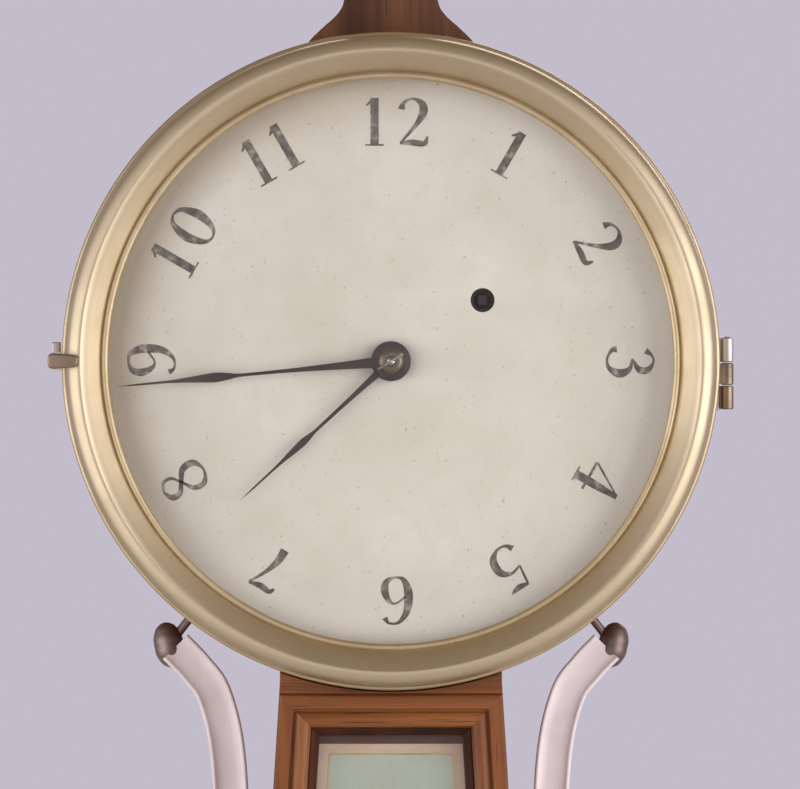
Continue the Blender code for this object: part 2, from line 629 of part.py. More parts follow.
def build_bezel_hinge():
    heights = (-18.0 * MM, 9.0 * MM)
    knuckles = [(-0.3 * MM, 8.5 * MM), (-17.5 * MM, -8.9 * MM)]
    build_hinge_leaf("bezel_hinge", BEZEL_HINGE_AXIS, (118.0 * MM, 119.4 * MM), (62 * MM, 83.7 * MM),
                     (81.8 * MM, 83.5 * MM), heights, knuckles, 6 * MM)


def build_door():
    depth = (BOX_FRONT + GAP, BOX_FRONT + GAP + DOOR_T)
    outer = [(-BOX_HALF, BOX_BOTTOM), (BOX_HALF, BOX_BOTTOM), (BOX_HALF, BOX_TOP), (-BOX_HALF, BOX_TOP)]
    x, low, high = BOX_HALF - DOOR_STILE, BOX_BOTTOM + DOOR_STILE, BOX_TOP - DOOR_STILE
    inner = [(-x, low), (x, low), (x, high), (-x, high)]
    frame = flat("door_frame", [outer, inner], depth, MAHOGANY)
    lip = 5.0 * MM
    rebate = box("door_rebate", (-x - lip - GAP, x + lip + GAP), (depth[0] - 1 * MM, depth[0] + 4.2 * MM),
                 (low - lip - GAP, high + lip + GAP), cutter=True)
    spindle_hole = rod("latch_bearing", 2.4 * MM, (80 * MM, 110 * MM), 14, at=LATCH_AXIS, cutter=True)
    cut(frame, rebate, spindle_hole)
    box("door_tablet", (-x - lip, x + lip), (depth[0] + 1.2 * MM, depth[0] + 3.7 * MM),
        (low - lip, high + lip), TABLET)

    leaf_t = 1.2 * MM
    axis_x, axis_depth = DOOR_HINGE_AXIS
    for name, centre in (("upper", BOX_TOP - 45 * MM), ("lower", BOX_BOTTOM + 45 * MM)):
        heights = (centre - 16 * MM, centre + 16 * MM)
        knuckles = [(centre + 5.5 * MM, centre + 15.5 * MM), (centre - 15.5 * MM, centre - 5.5 * MM)]
        build_hinge_leaf(f"door_hinge_{name}_case_leaf", DOOR_HINGE_AXIS,
                         (BOX_HALF + GAP, BOX_HALF + GAP + leaf_t), (70 * MM, 89.5 * MM),
                         (88.2 * MM, 90.2 * MM), heights, knuckles, centre + 12 * MM)
        leaf = box(f"door_hinge_{name}_door_leaf", (BOX_HALF + GAP, BOX_HALF + GAP + leaf_t),
                   (90.9 * MM, 101 * MM), heights, BRASS)
        web = box(f"door_web_{name}", (BOX_HALF + GAP + 0.2 * MM, axis_x),
                  (axis_depth - 0.1 * MM, axis_depth + 2 * MM), (centre - 5 * MM, centre + 5 * MM),
                  cutter=True)
        knuckle = turned(f"door_knuckle_{name}", knuckle_profile(centre - 5.2 * MM, centre + 5.2 * MM), 10,
                         upright=True, at=(axis_x, -axis_depth), cutter=True)
        bore = turned(f"door_pin_hole_{name}",
                      [(0, centre + 14 * MM), (1.1 * MM, centre + 14 * MM), (1.1 * MM, centre - 14 * MM),
                       (0, centre - 14 * MM)], 8, upright=True, at=(axis_x, -axis_depth), cutter=True)
        join(leaf, web, knuckle)
        cut(leaf, bore)


def build_door_latch():
    """Turned brass knob on the door, with a tongue behind that enters the left side of the box."""
    front = BOX_FRONT + GAP + DOOR_T
    knob = turned("door_latch", latch_profile(front), 16, BRASS, at=LATCH_AXIS)
    x, z = LATCH_AXIS
    tongue = box("latch_tongue", (x - 2.5 * MM, x + 2.5 * MM), (80.5 * MM, 84.5 * MM),
                 (z - 3 * MM, z + 9.2 * MM), cutter=True)
    join(knob, tongue)


def latch_profile(front):
    knob = [(0, 11.0), (4.5, 10.2), (6.0, 7.5), (5.0, 5.0), (2.6, 3.4), (4.6, 1.6), (4.6, 0.3), (2.1, 0.3)]
    return [(r * MM, front + h * MM) for r, h in knob] + [(2.1 * MM, 80.6 * MM), (0, 80.6 * MM)]


# ---------------------------------------------------------------- movement frame

def plate_outline():
    return [(PLATE_LEFT, PLATE_BOTTOM), (PLATE_RIGHT, PLATE_BOTTOM), (PLATE_RIGHT, PLATE_TOP),
            (PLATE_LEFT, PLATE_TOP)]


def build_plates():
    pillar_holes = [circle(PILLAR_NECK_R + GAP, 12, place) for place in PILLARS]
    pivot = 0.9 * MM
    back_holes = [circle(pivot, 8, THIRD), circle(pivot, 8, ESCAPE), circle(pivot, 8, ANCHOR),
                  circle(1.8 * MM, 10, CENTRE), circle(2.8 * MM, 12, WINDING)]
    front_holes = [circle(pivot, 8, THIRD), circle(pivot, 8, ESCAPE), circle(1.4 * MM, 8, ANCHOR),
                   circle(1.8 * MM, 10, CENTRE), circle(2.9 * MM, 12, WINDING)]
    back = flat("back_plate", [plate_outline(), *pillar_holes, *back_holes], BACK_PLATE, BRASS)
    join(back, rod("cord_post", 1.5 * MM, (BACK_PLATE[1] - 1 * MM, WEIGHT_DEPTH + 2 * MM), 10, at=CORD_POST,
                   cutter=True))
    bridge_holes = [circle(1.3 * MM, 8, place) for place in BRIDGE_SCREWS]
    flat("front_plate", [plate_outline(), *pillar_holes, *front_holes, *bridge_holes,
                         circle(1.2 * MM, 8, MINUTE_STUD)], FRONT_PLATE, BRASS)


def build_pillars():
    """Turned pillars, with a foot on the backboard and a head on the front plate."""
    neck, body, head = PILLAR_NECK_R, 4.0 * MM, 3.4 * MM
    top = FRONT_PLATE[1] + 3.2 * MM
    profile = [(0, top), (head, top), (head, FRONT_PLATE[1] + GAP), (neck, FRONT_PLATE[1] + GAP),
               (neck, FRONT_PLATE[0] - GAP), (body, FRONT_PLATE[0] - GAP),
               (body, BACK_PLATE[1] + GAP), (neck, BACK_PLATE[1] + GAP), (neck, BACK_PLATE[0] - GAP),
               (body, BACK_PLATE[0] - GAP), (body, BOARD_T + GAP), (0, BOARD_T + GAP)]
    for number, place in enumerate(PILLARS, 1):
        turned(f"pillar_{number}", profile, 8, BRASS, at=place)


def build_bridge():
    """Bracket on the front plate that carries the pendulum's suspension spring."""
    top = ANCHOR[1]
    foot = box("suspension_bridge", (-13 * MM, 13 * MM), (FRONT_PLATE[1] + GAP, FRONT_PLATE[1] + 3 * MM),
               (top + 9 * MM, top + 17 * MM), BRASS)
    arm = box("bridge_arm", (-3.5 * MM, 3.5 * MM), (FRONT_PLATE[1] + 1 * MM, ROD_DEPTH + 4 * MM),
              (top + 9.5 * MM, top + 15 * MM), cutter=True)
    chops = box("bridge_chops", (-2.6 * MM, 2.6 * MM), (ROD_DEPTH - 3.6 * MM, ROD_DEPTH + 3.6 * MM),
                (top + GAP, top + 11 * MM), cutter=True)
    join(foot, arm, chops)
    shank = (FRONT_PLATE[0] + 0.4 * MM, FRONT_PLATE[1] + 2 * MM)
    head = (FRONT_PLATE[1] + 2.5 * MM, FRONT_PLATE[1] + 4.4 * MM)
    screws = [rod(f"bridge_screw_shank_{i}", 1.0 * MM, shank, 8, at=place, cutter=True)
              for i, place in enumerate(BRIDGE_SCREWS)]
    heads = [rod(f"bridge_screw_head_{i}", 2.2 * MM, head, 10, at=place, cutter=True)
             for i, place in enumerate(BRIDGE_SCREWS)]
    join(foot, *screws, *heads)


# ---------------------------------------------------------------- going train
def build_great_wheel():
    """Main wheel, with the stud that the click turns on."""
    teeth = wheel_outline(GREAT_TEETH, GREAT_MODULE, GREAT_PHASE)
    openings = crossings(9.0 * MM, 31.5 * MM, 4, 5.5 * MM, CLICK_ANGLE)
    wheel = flat("great_wheel", [teeth, circle(2.9 * MM, 12), *openings], GREAT_LAYER, BRASS, at=WINDING)
    profile = [(0, GREAT_LAYER[0] + 1 * MM), (0.9 * MM, GREAT_LAYER[0] + 1 * MM), (0.9 * MM, 33.9 * MM),
               (2.0 * MM, 33.9 * MM), (2.0 * MM, 33.0 * MM), (0, 33.0 * MM)]
    join(wheel, turned("click_stud", profile, 10, at=CLICK_PIVOT, cutter=True))


def ratchet_outline():
    """Saw teeth: a steep face and a long back."""
    return gear_outline(RATCHET_TEETH, RATCHET_R, ((0.0, 0.0), (-1.6 * MM, 0.12)))


def build_barrel():
    """Cord drum with a rear flange, and the ratchet teeth cut in its front flange."""
    rear, front = BARREL_LAYER
    core = BARREL_R - CORD_R - GAP
    flange = 12.0 * MM
    bore = 2.8 * MM
    profile = [(core, RATCHET_LAYER[1] - 0.5 * MM), (core, rear + 1.2 * MM), (flange, rear + 1.2 * MM),
               (flange, rear), (bore, rear), (bore, RATCHET_LAYER[1] - 0.5 * MM)]
    drum = turned("barrel", profile, 18, BRASS, at=WINDING, closed=True)
    ratchet = flat("ratchet_disc", [ratchet_outline(), circle(bore + 2 * MM, 12)], RATCHET_LAYER, at=WINDING,
                   cutter=True)
    join(drum, ratchet)


def build_winding_arbor():
    """Steel arbor through both plates, ending in the square behind the winding hole."""
    body, pivot = 2.5 * MM, 2.4 * MM
    profile = [(0, 66 * MM), (body, 66 * MM), (body, 20 * MM), (pivot, 20 * MM), (pivot, 16.2 * MM),
               (0, 16.2 * MM)]
    arbor = turned("winding_arbor", profile, 14, STEEL, at=WINDING)
    half = 1.7 * MM
    x, z = WINDING
    square = box("winding_square", (x - half, x + half), (65 * MM, 79 * MM), (z - half, z + half),
                 cutter=True)
    collar = rod("great_wheel_collar", 5.0 * MM, (GREAT_LAYER[1] + GAP, GREAT_LAYER[1] + 2 * MM), 14,
                 at=WINDING, cutter=True)
    join(arbor, square, collar)


def build_click():
    """Pawl on the back of the great wheel, resting just above the ratchet teeth, and its spring."""
    tip_angle = CLICK_ANGLE - radians(38)
    tip = polar(RATCHET_R + 0.35 * MM, tip_angle, WINDING)
    back = polar(RATCHET_R + 3.2 * MM, tip_angle - radians(3), WINDING)
    towards = atan2(tip[1] - CLICK_PIVOT[1], tip[0] - CLICK_PIVOT[0])
    boss = [polar(3.0 * MM, towards - radians(40 + 280 * i / 9), CLICK_PIVOT) for i in range(10)]
    flat("click", [[back, tip, *boss], circle(1.2 * MM, 8, CLICK_PIVOT)], CLICK_LAYER, STEEL)

    start, end = CLICK_ANGLE + radians(90), CLICK_ANGLE + radians(2)
    inner, outer = [], []
    steps = 9
    for i in range(steps + 1):
        angle = start + (end - start) * i / steps
        radius = (25.0 - 2.4 * i / steps) * MM
        inner.append(polar(radius, angle, WINDING))
        outer.append(polar(radius + 0.7 * MM, angle, WINDING))
    spring = flat("click_spring", [inner + outer[::-1]], CLICK_LAYER, STEEL)
    join(spring, rod("click_spring_foot", 2.3 * MM, (33.4 * MM, CLICK_LAYER[1]), 10,
                     at=polar(25.3 * MM, start, WINDING), cutter=True))


def arbor_profile(rear_pivot, front_pivot, radius, rear, front):
    """A plain arbor with a thinner pivot at each end; rear and front are its shoulders."""
    pivot = 0.6 * MM
    return [(0, front_pivot), (pivot, front_pivot), (pivot, front), (radius, front), (radius, rear),
            (pivot, rear), (pivot, rear_pivot), (0, rear_pivot)]


SHOULDERS = (BACK_PLATE[1] + GAP, FRONT_PLATE[0] - GAP)
PIVOT_ENDS = (BACK_PLATE[0] + 0.3 * MM, FRONT_PLATE[1] - 0.3 * MM)


def build_centre():
    radius, bore = 1.5 * MM, 1.8 * MM
    profile = [(0, 92.6 * MM), (radius, 91.8 * MM), (radius, PIVOT_ENDS[0]), (0, PIVOT_ENDS[0])]
    arbor = turned("centre_arbor", profile, 12, STEEL)
    join(arbor, flat("centre_leaves", [pinion_outline(CENTRE_LEAVES, GREAT_MODULE, CENTRE_PINION_PHASE)],
                     CENTRE_PINION_LAYER, cutter=True))
    flat("centre_wheel", [wheel_outline(CENTRE_TEETH, CENTRE_MODULE, CENTRE_PHASE), circle(bore, 12),
                          *crossings(4.6 * MM, 15.6 * MM, 4, 3.2 * MM)], CENTRE_LAYER, BRASS)

    pipe_r = 2.35 * MM
    pipe_end = MINUTE_HAND_LAYER[0] - GAP
    profile = [(pipe_r, pipe_end), (pipe_r, CANNON_LAYER[0] + 0.2 * MM), (bore, CANNON_LAYER[0] + 0.2 * MM),
               (bore, pipe_end)]
    cannon = turned("cannon_pinion", profile, 12, STEEL, closed=True)
    leaves = pinion_outline(CANNON_TEETH, CANNON_MODULE, CANNON_PHASE)
    join(cannon, flat("cannon_leaves", [leaves, circle(bore + 0.25 * MM, 12)], CANNON_LAYER, cutter=True))


def build_third():
    arbor = turned("third_arbor", arbor_profile(*PIVOT_ENDS, 1.0 * MM, *SHOULDERS), 10, STEEL, at=THIRD)
    join(arbor, flat("third_leaves", [pinion_outline(THIRD_LEAVES, CENTRE_MODULE, THIRD_PINION_PHASE)],
                     THIRD_PINION_LAYER, at=THIRD, cutter=True))
    flat("third_wheel", [wheel_outline(THIRD_TEETH, THIRD_MODULE, THIRD_PHASE), circle(1.3 * MM, 10),
                         *crossings(3.6 * MM, 11.8 * MM, 4, 2.4 * MM, radians(20))], THIRD_LAYER, BRASS,
         at=THIRD)


def escape_outline():
    """Pointed escape teeth, steep in front and long behind."""
    root = -2.2 * MM
    return gear_outline(ESCAPE_TEETH, ESCAPE_R, ((root, -0.24), (0.0, 0.0), (root, 0.24)), ESCAPE_PHASE)


def build_escape():
    openings = crossings(3.4 * MM, 9.4 * MM, 4, 2.0 * MM, radians(10))
    wheel = flat("escape_wheel", [escape_outline(), *openings], ESCAPE_LAYER, BRASS, at=ESCAPE)
    arbor = turned("escape_arbor", arbor_profile(*PIVOT_ENDS, 0.8 * MM, *SHOULDERS), 10, at=ESCAPE,
                   cutter=True)
    leaves = flat("escape_leaves", [pinion_outline(ESCAPE_LEAVES, THIRD_MODULE, ESCAPE_PINION_PHASE)],
                  ESCAPE_PINION_LAYER, at=ESCAPE, cutter=True)
    join(wheel, arbor, leaves)


def build_anchor():
    """Two pallets that straddle a quarter of the escape wheel, on an arbor that carries the crutch."""
    nib_half = 0.15 * MM

    def beside(reach, side, offset):
        """A point on one pallet's radius, at a reach outside the escape wheel, then moved sideways."""
        angle = TO_ANCHOR + side * pi / 4
        x, z = polar(ESCAPE_R + reach, angle, ESCAPE)
        return (x - side * offset * sin(angle), z + side * offset * cos(angle))

    arms = [[beside(2.6 * MM, side, -1.6 * MM), beside(0.16 * MM, side, -nib_half),
             beside(0.16 * MM, side, nib_half), beside(5.8 * MM, side, 1.2 * MM)] for side in (1, -1)]
    crown = polar(3.2 * MM, TO_ANCHOR, ANCHOR)
    saddle = polar(-2.2 * MM, TO_ANCHOR, ANCHOR)
    plate = [saddle, *arms[0], crown, *reversed(arms[1])]
    anchor = flat("anchor", [plate], ANCHOR_LAYER, STEEL)
    profile = [(0, 51 * MM), (1.0 * MM, 51 * MM), (1.0 * MM, SHOULDERS[0]), (0.6 * MM, SHOULDERS[0]),
               (0.6 * MM, PIVOT_ENDS[0]), (0, PIVOT_ENDS[0])]
    join(anchor, turned("anchor_arbor", profile, 10, at=ANCHOR, cutter=True))

    hub = [polar(2.6 * MM, radians(-50 + 280 * i / 8), ANCHOR) for i in range(9)]
    foot = [(side * 1.2 * MM, CRUTCH_PIN_Z - 1.5 * MM) for side in (-1, 1)]
    depth = (FRONT_PLATE[1] + 1.2 * MM, FRONT_PLATE[1] + 2.4 * MM)
    crutch = flat("crutch", [[*hub, *foot], circle(1.3 * MM, 8, ANCHOR)], depth, STEEL)
    join(crutch, rod("crutch_pin", 0.8 * MM, (depth[0] + 0.2 * MM, ROD_DEPTH + 3 * MM), 8,
                     at=(0, CRUTCH_PIN_Z), cutter=True))


# ---------------------------------------------------------------- motion work and hands
def build_motion_work():
    wheel = flat("minute_wheel", [wheel_outline(MINUTE_TEETH, CANNON_MODULE, MINUTE_PHASE),
                                  *crossings(3.6 * MM, 7.0 * MM, 3, 2.2 * MM, steps=3)], MINUTE_LAYER, BRASS,
                 at=MINUTE_STUD)
    leaves = flat("minute_leaves", [pinion_outline(MINUTE_LEAVES, HOUR_MODULE, MINUTE_PINION_PHASE)],
                  (MINUTE_LAYER[1] - 0.5 * MM, 56.6 * MM), at=MINUTE_STUD, cutter=True)
    spindle = rod("minute_spindle", 0.9 * MM, (FRONT_PLATE[0] + 0.4 * MM, 57.6 * MM), 8, at=MINUTE_STUD,
                  cutter=True)
    join(wheel, leaves, spindle)

    bore, outer = 2.7 * MM, 3.4 * MM
    pipe_end = HOUR_HAND_LAYER[0] - GAP
    profile = [(outer, pipe_end), (outer, HOUR_LAYER[0] + 0.3 * MM), (bore, HOUR_LAYER[0] + 0.3 * MM),
               (bore, pipe_end)]
    pipe = turned("hour_wheel", profile, 12, BRASS, closed=True)
    teeth = wheel_outline(HOUR_TEETH, HOUR_MODULE, HOUR_PHASE)
    disc = flat("hour_disc", [teeth, circle(bore + 0.35 * MM, 12)], HOUR_LAYER, cutter=True)
    join(pipe, disc)


def hand_outline(length, hub, root, barb_start, barb_end, barb, tip):
    """Right half of a barbed hand pointing up: a tapering stem, a barb and a fine point."""
    lean = asin(root / hub)
    boss = [polar(hub, a) for a in (-pi / 2 + (pi - lean) * i / 7 for i in range(8))]
    stem = [(root * 0.55, barb_start), (barb, barb_start + (barb_end - barb_start) * 0.35), (tip, barb_end)]
    return boss + stem + [(0.0, length)]


def build_hand(name, depth, bore, angle, half):
    right = half[1:]
    left = [(-x, z) for x, z in reversed(right[:-1])]
    flat(name, [[half[0], *right, *left], circle(bore, 14)], depth, BLUED, angle=angle)


def build_hands():
    minute = hand_outline(MINUTE_HAND_LENGTH, 6.2 * MM, 2.6 * MM, 58 * MM, 80 * MM, 3.6 * MM, 0.9 * MM)
    hour = hand_outline(HOUR_HAND_LENGTH, 7.3 * MM, 2.8 * MM, 38 * MM, 56 * MM, 3.8 * MM, 1.0 * MM)
    build_hand("minute_hand", MINUTE_HAND_LAYER, 1.8 * MM, MINUTE_HAND_ANGLE, minute)
    build_hand("hour_hand", HOUR_HAND_LAYER, 2.7 * MM, HOUR_HAND_ANGLE, hour)
    rear = MINUTE_HAND_LAYER[1] + GAP
    profile = [(1.8, 2.2), (3.2, 2.0), (4.6, 0.9), (4.9, 0.0), (1.8, 0.0)]
    turned("hand_collet", [(r * MM, rear + h * MM) for r, h in profile], 20, BLUED, closed=True)


# ---------------------------------------------------------------- pendulum
def build_pendulum():
    top = ANCHOR[1]
    spring_bottom = top - 12 * MM
    box("suspension_spring", (-2 * MM, 2 * MM), (ROD_DEPTH - 0.12 * MM, ROD_DEPTH + 0.12 * MM),
        (spring_bottom, top), STEEL)

    half, ring, opening = 2.5 * MM, 13.0 * MM, 9.5 * MM
    bar_bottom = BOB_Z - 34 * MM
    lean = asin(half / ring)
    right = [(half, spring_bottom - GAP)] + arc_points(ring, pi / 2 - lean, -pi / 2 + lean, 10)
    right.append((half, bar_bottom))
    crutch_hole = circle(1.1 * MM, 8, (0, CRUTCH_PIN_Z))
    bar = flat("pendulum_rod", [right + mirrored(right), circle(opening, 20), crutch_hole],
               (ROD_DEPTH - 1 * MM, ROD_DEPTH + 1 * MM), BRASS)
    thread = turned("rating_thread", [(0, bar_bottom + 3 * MM), (1.5 * MM, bar_bottom + 3 * MM),
                                      (1.5 * MM, BOB_Z - 60 * MM), (0, BOB_Z - 61 * MM)], 10, upright=True,
                    at=(0, -ROD_DEPTH), cutter=True)
    join(bar, thread)

    lens = [(0.0, 10.2), (13.0, 9.2), (25.0, 6.4), (34.0, 2.6), (BOB_R / MM, 0.8)]
    front = [(r * MM, ROD_DEPTH + h * MM) for r, h in lens]
    back = [(r * MM, ROD_DEPTH - h * MM) for r, h in reversed(lens)]
    bob = turned("pendulum_bob", front + back, 28, BRASS, at=(0, BOB_Z))
    cut(bob, box("bob_slot", (-2.8 * MM, 2.8 * MM), (ROD_DEPTH - 1.8 * MM, ROD_DEPTH + 1.8 * MM),
                 (BOB_Z - 45 * MM, BOB_Z + 45 * MM), cutter=True))

    nut_top = BOB_Z - BOB_R - GAP
    profile = [(1.8, 0), (6.5, 0), (8.0, -1.5), (8.0, -5.5), (6.5, -7.0), (1.8, -7.0)]
    turned("rating_nut", [(r * MM, nut_top + h * MM) for r, h in profile], 20, BRASS, upright=True,
           at=(0, -ROD_DEPTH), closed=True)


# ---------------------------------------------------------------- weight
def build_weight():
    x, z, depth = PULLEY_X, PULLEY_Z, WEIGHT_DEPTH
    top = z - 14 * MM
    body = box("weight", (x - 22 * MM, x + 22 * MM), (depth - 10.5 * MM, depth + 10.5 * MM),
               (top - 122 * MM, top), IRON)
    strap_t, pulley_half = 1.2 * MM, 2.0 * MM
    straps = []
    for side in (-1, 1):
        near = depth + side * (pulley_half + GAP)
        far = near + side * strap_t
        straps.append(box(f"stirrup_{side}", (x - 2.4 * MM, x + 2.4 * MM), (min(near, far), max(near, far)),
                          (top - 2 * MM, z + 3 * MM), cutter=True))
    axle = rod("pulley_axle", 1.1 * MM, (depth - 3.8 * MM, depth + 3.8 * MM), 10, at=(x, z), cutter=True)
    join(body, *straps, axle)

    rim = PULLEY_R + 1.4 * MM
    profile = [(rim, pulley_half), (PULLEY_R, 0.5 * MM), (PULLEY_R, -0.5 * MM), (rim, -pulley_half),
               (1.4 * MM, -pulley_half), (1.4 * MM, pulley_half)]
    turned("pulley", [(r, depth + h) for r, h in profile], 20, BRASS, at=(x, z), closed=True)

    start = Vector((WINDING[0] - BARREL_R, WINDING[1]))
    wrap = [Vector(polar(CORD_WRAP_R, -pi * i / 12, (x, z))) for i in range(13)]
    end = Vector((CORD_POST[0], CORD_POST[1] - 2.2 * MM))
    route = [start, start.lerp(wrap[0], 0.5), *wrap, wrap[-1].lerp(end, 0.5), end]
    tube("weight_cord", [(p.x, -depth, p.y) for p in route], CORD_R, CORD)


BUILDERS = (build_backboard, build_hanger, build_head_ring, build_plinth, build_finial, build_throat,
            build_box, build_sidearms, build_dial, build_bezel, build_bezel_catch, build_bezel_hinge,
            build_door, build_door_latch, build_plates, build_pillars, build_bridge, build_great_wheel,
            build_barrel, build_winding_arbor, build_click, build_centre, build_third, build_escape,
            build_anchor, build_motion_work, build_hands, build_pendulum, build_weight)

for build in BUILDERS:
    build()
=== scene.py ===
"""Looks of a banjo clock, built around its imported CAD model.

Shapes are in millimetres, the materials and the studio in metres. +Z is up, the front faces -Y, and the
wall is the plane y = 0. A depth is a distance forward of the wall. Parts stand where the model's nodes are.
"""
from math import asin, atan2, cos, degrees, hypot, pi, radians, sin, sqrt

import bmesh
import bpy
from mathutils import Matrix, Vector


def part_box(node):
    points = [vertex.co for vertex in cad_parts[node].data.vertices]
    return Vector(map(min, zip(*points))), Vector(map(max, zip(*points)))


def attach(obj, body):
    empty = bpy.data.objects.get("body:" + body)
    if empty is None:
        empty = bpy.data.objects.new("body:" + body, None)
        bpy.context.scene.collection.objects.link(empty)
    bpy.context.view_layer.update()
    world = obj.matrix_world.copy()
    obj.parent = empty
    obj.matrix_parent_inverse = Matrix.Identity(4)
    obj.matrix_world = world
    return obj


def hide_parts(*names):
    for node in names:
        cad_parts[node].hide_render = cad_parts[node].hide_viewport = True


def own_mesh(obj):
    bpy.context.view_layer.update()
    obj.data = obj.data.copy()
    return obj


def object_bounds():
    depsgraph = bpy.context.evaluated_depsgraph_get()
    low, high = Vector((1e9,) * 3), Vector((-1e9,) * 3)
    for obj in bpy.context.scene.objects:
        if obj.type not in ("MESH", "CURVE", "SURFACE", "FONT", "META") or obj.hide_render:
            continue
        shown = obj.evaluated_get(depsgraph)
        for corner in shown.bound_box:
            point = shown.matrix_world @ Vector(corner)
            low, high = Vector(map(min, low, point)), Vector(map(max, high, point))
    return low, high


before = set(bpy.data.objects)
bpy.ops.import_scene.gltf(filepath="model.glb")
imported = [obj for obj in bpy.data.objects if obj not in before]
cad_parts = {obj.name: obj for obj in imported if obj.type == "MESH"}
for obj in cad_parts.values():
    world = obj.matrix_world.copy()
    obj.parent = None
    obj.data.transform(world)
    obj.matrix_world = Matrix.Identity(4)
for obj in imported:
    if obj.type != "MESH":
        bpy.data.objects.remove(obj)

CAD_LOW, CAD_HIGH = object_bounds()
MM = 0.001
GAP = 0.3


class Span:
    """Limits of a CAD node in millimetres: x and z as they are, and depth forward of the wall."""

    def __init__(self, node):
        low, high = (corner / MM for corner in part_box(node))
        self.x, self.z, self.depth = (low.x, high.x), (low.z, high.z), (-high.y, -low.y)

    def middle(self):
        return ((self.x[0] + self.x[1]) / 2, (self.z[0] + self.z[1]) / 2)

    def middle_depth(self):
        return (self.depth[0] + self.depth[1]) / 2


BEZEL, DIAL, HEAD = Span("bezel"), Span("dial"), Span("head_ring")
BEZEL_R, DIAL_R, HEAD_R = BEZEL.z[1], DIAL.x[1], HEAD.x[1]
DIAL_FRONT = DIAL.depth[1]
WINDING = Span("winding_arbor").middle()
THROAT_FRAME, DOOR, BOX_TOP = Span("throat_frame"), Span("door_frame"), Span("box_top")
FINIAL_DEPTH = 42
BOB, PULLEY = Span("pendulum_bob"), Span("pulley")


# ---------------------------------------------------------------- materials
class Finish:
    """A node material under construction. Each method adds a node and gives its output."""

    def __init__(self, name, **shader):
        self.material = bpy.data.materials.new(name)
        self.material.use_nodes = True
        self.tree = self.material.node_tree
        self.shader = self.tree.nodes["Principled BSDF"]
        self.place = self.add("TexCoord").outputs["Object"]
        for socket, value in shader.items():
            self.give(socket, value)

    def add(self, kind, sockets=None, **settings):
        node = self.tree.nodes.new("ShaderNode" + kind)
        for name, value in settings.items():
            setattr(node, name, value)
        for name, value in (sockets or {}).items():
            self.feed(node.inputs[name], value)
        return node

    def feed(self, socket, value):
        if isinstance(value, bpy.types.NodeSocket):
            self.tree.links.new(value, socket)
        elif isinstance(value, tuple) and socket.type == "RGBA":
            socket.default_value = (*value, 1.0)
        else:
            socket.default_value = value

    def give(self, socket, value):
        """Set or link one of the shader's inputs; underscores stand for spaces."""
        self.feed(self.shader.inputs[socket.replace("_", " ")], value)

    def show(self, share, first, second):
        """Make the surface a mix of two shader nodes."""
        blend = self.add("MixShader", {"Fac": share})
        self.feed(blend.inputs[1], first.outputs[0])
        self.feed(blend.inputs[2], second.outputs[0])
        self.feed(self.tree.nodes["Material Output"].inputs["Surface"], blend.outputs[0])

    def scaled(self, x, y, z):
        return self.add("Mapping", {"Vector": self.place, "Scale": (x, y, z)}).outputs[0]

    def noise(self, place, detail, distortion=0.0):
        sockets = {"Vector": place, "Scale": 1.0, "Detail": detail, "Distortion": distortion}
        return self.add("TexNoise", sockets).outputs[0]

    def cloud(self, scale, detail):
        """Noise that is the same in all directions, with this many features to a metre."""
        return self.noise(self.scaled(scale, scale, scale), detail)

    def cracks(self, wander_scale, wander, scale):
        """Distance to the edge of the nearest cell, on coordinates that a noise pushes about."""
        sockets = {"Vector": self.place, "Scale": wander_scale, "Detail": 3.0}
        push = self.add("TexNoise", sockets).outputs["Color"]
        shift = self.add("VectorMath", {0: push, 1: (wander * MM,) * 3}, operation="MULTIPLY").outputs[0]
        moved = self.add("VectorMath", {0: self.place, 1: shift}, operation="ADD").outputs[0]
        cells = self.add("TexVoronoi", {"Vector": moved, "Scale": scale}, feature="DISTANCE_TO_EDGE")
        return cells.outputs[0]

    def ramp(self, value, *stops):
        """Colours, or greys as single numbers, at positions along a value."""
        node = self.add("ValToRGB", {"Fac": value})
        elements = node.color_ramp.elements
        for i, (position, colour) in enumerate(stops):
            element = elements[i] if i < 2 else elements.new(position)
            element.position = position
            element.color = (*(colour if isinstance(colour, tuple) else (colour,) * 3), 1.0)
        return node.outputs[0]

    def mix(self, share, first, second):
        node = self.add("Mix", data_type="RGBA")
        for socket, value in ((0, share), (6, first), (7, second)):
            self.feed(node.inputs[socket], value)
        return node.outputs[2]

    def maths(self, operation, first, second):
        return self.add("Math", {0: first, 1: second}, operation=operation).outputs[0]

    def axis(self, letter):
        return self.add("SeparateXYZ", {"Vector": self.place}).outputs[letter]

    def polar(self, centre=(0, 0), upright=False):
        """Radius and angle about an axis that runs along the depth, or about an upright one."""
        across = self.maths("SUBTRACT", self.axis("X"), centre[0] * MM)
        other = self.maths("SUBTRACT", self.axis("Y" if upright else "Z"), centre[1] * MM)
        pair = self.add("CombineXYZ", {"X": across, "Y": other}).outputs[0]
        radius = self.add("VectorMath", {0: pair}, operation="LENGTH").outputs["Value"]
        return radius, self.maths("ARCTAN2", across, other)

    def done(self, colour, roughness, *layers):
        """The material, its surface raised by layers of (height, distance in millimetres)."""
        self.give("Base Color", colour)
        self.give("Roughness", roughness)
        normal = None
        for height, distance in layers:
            node = self.add("Bump", {"Height": height, "Distance": distance * MM, "Strength": 1.0})
            if normal is not None:
                self.feed(node.inputs["Normal"], normal)
            normal = node.outputs[0]
        self.give("Normal", normal)
        return self.material


def dimmed(colour, share):
    """A darker colour."""
    return tuple(channel * share for channel in colour)


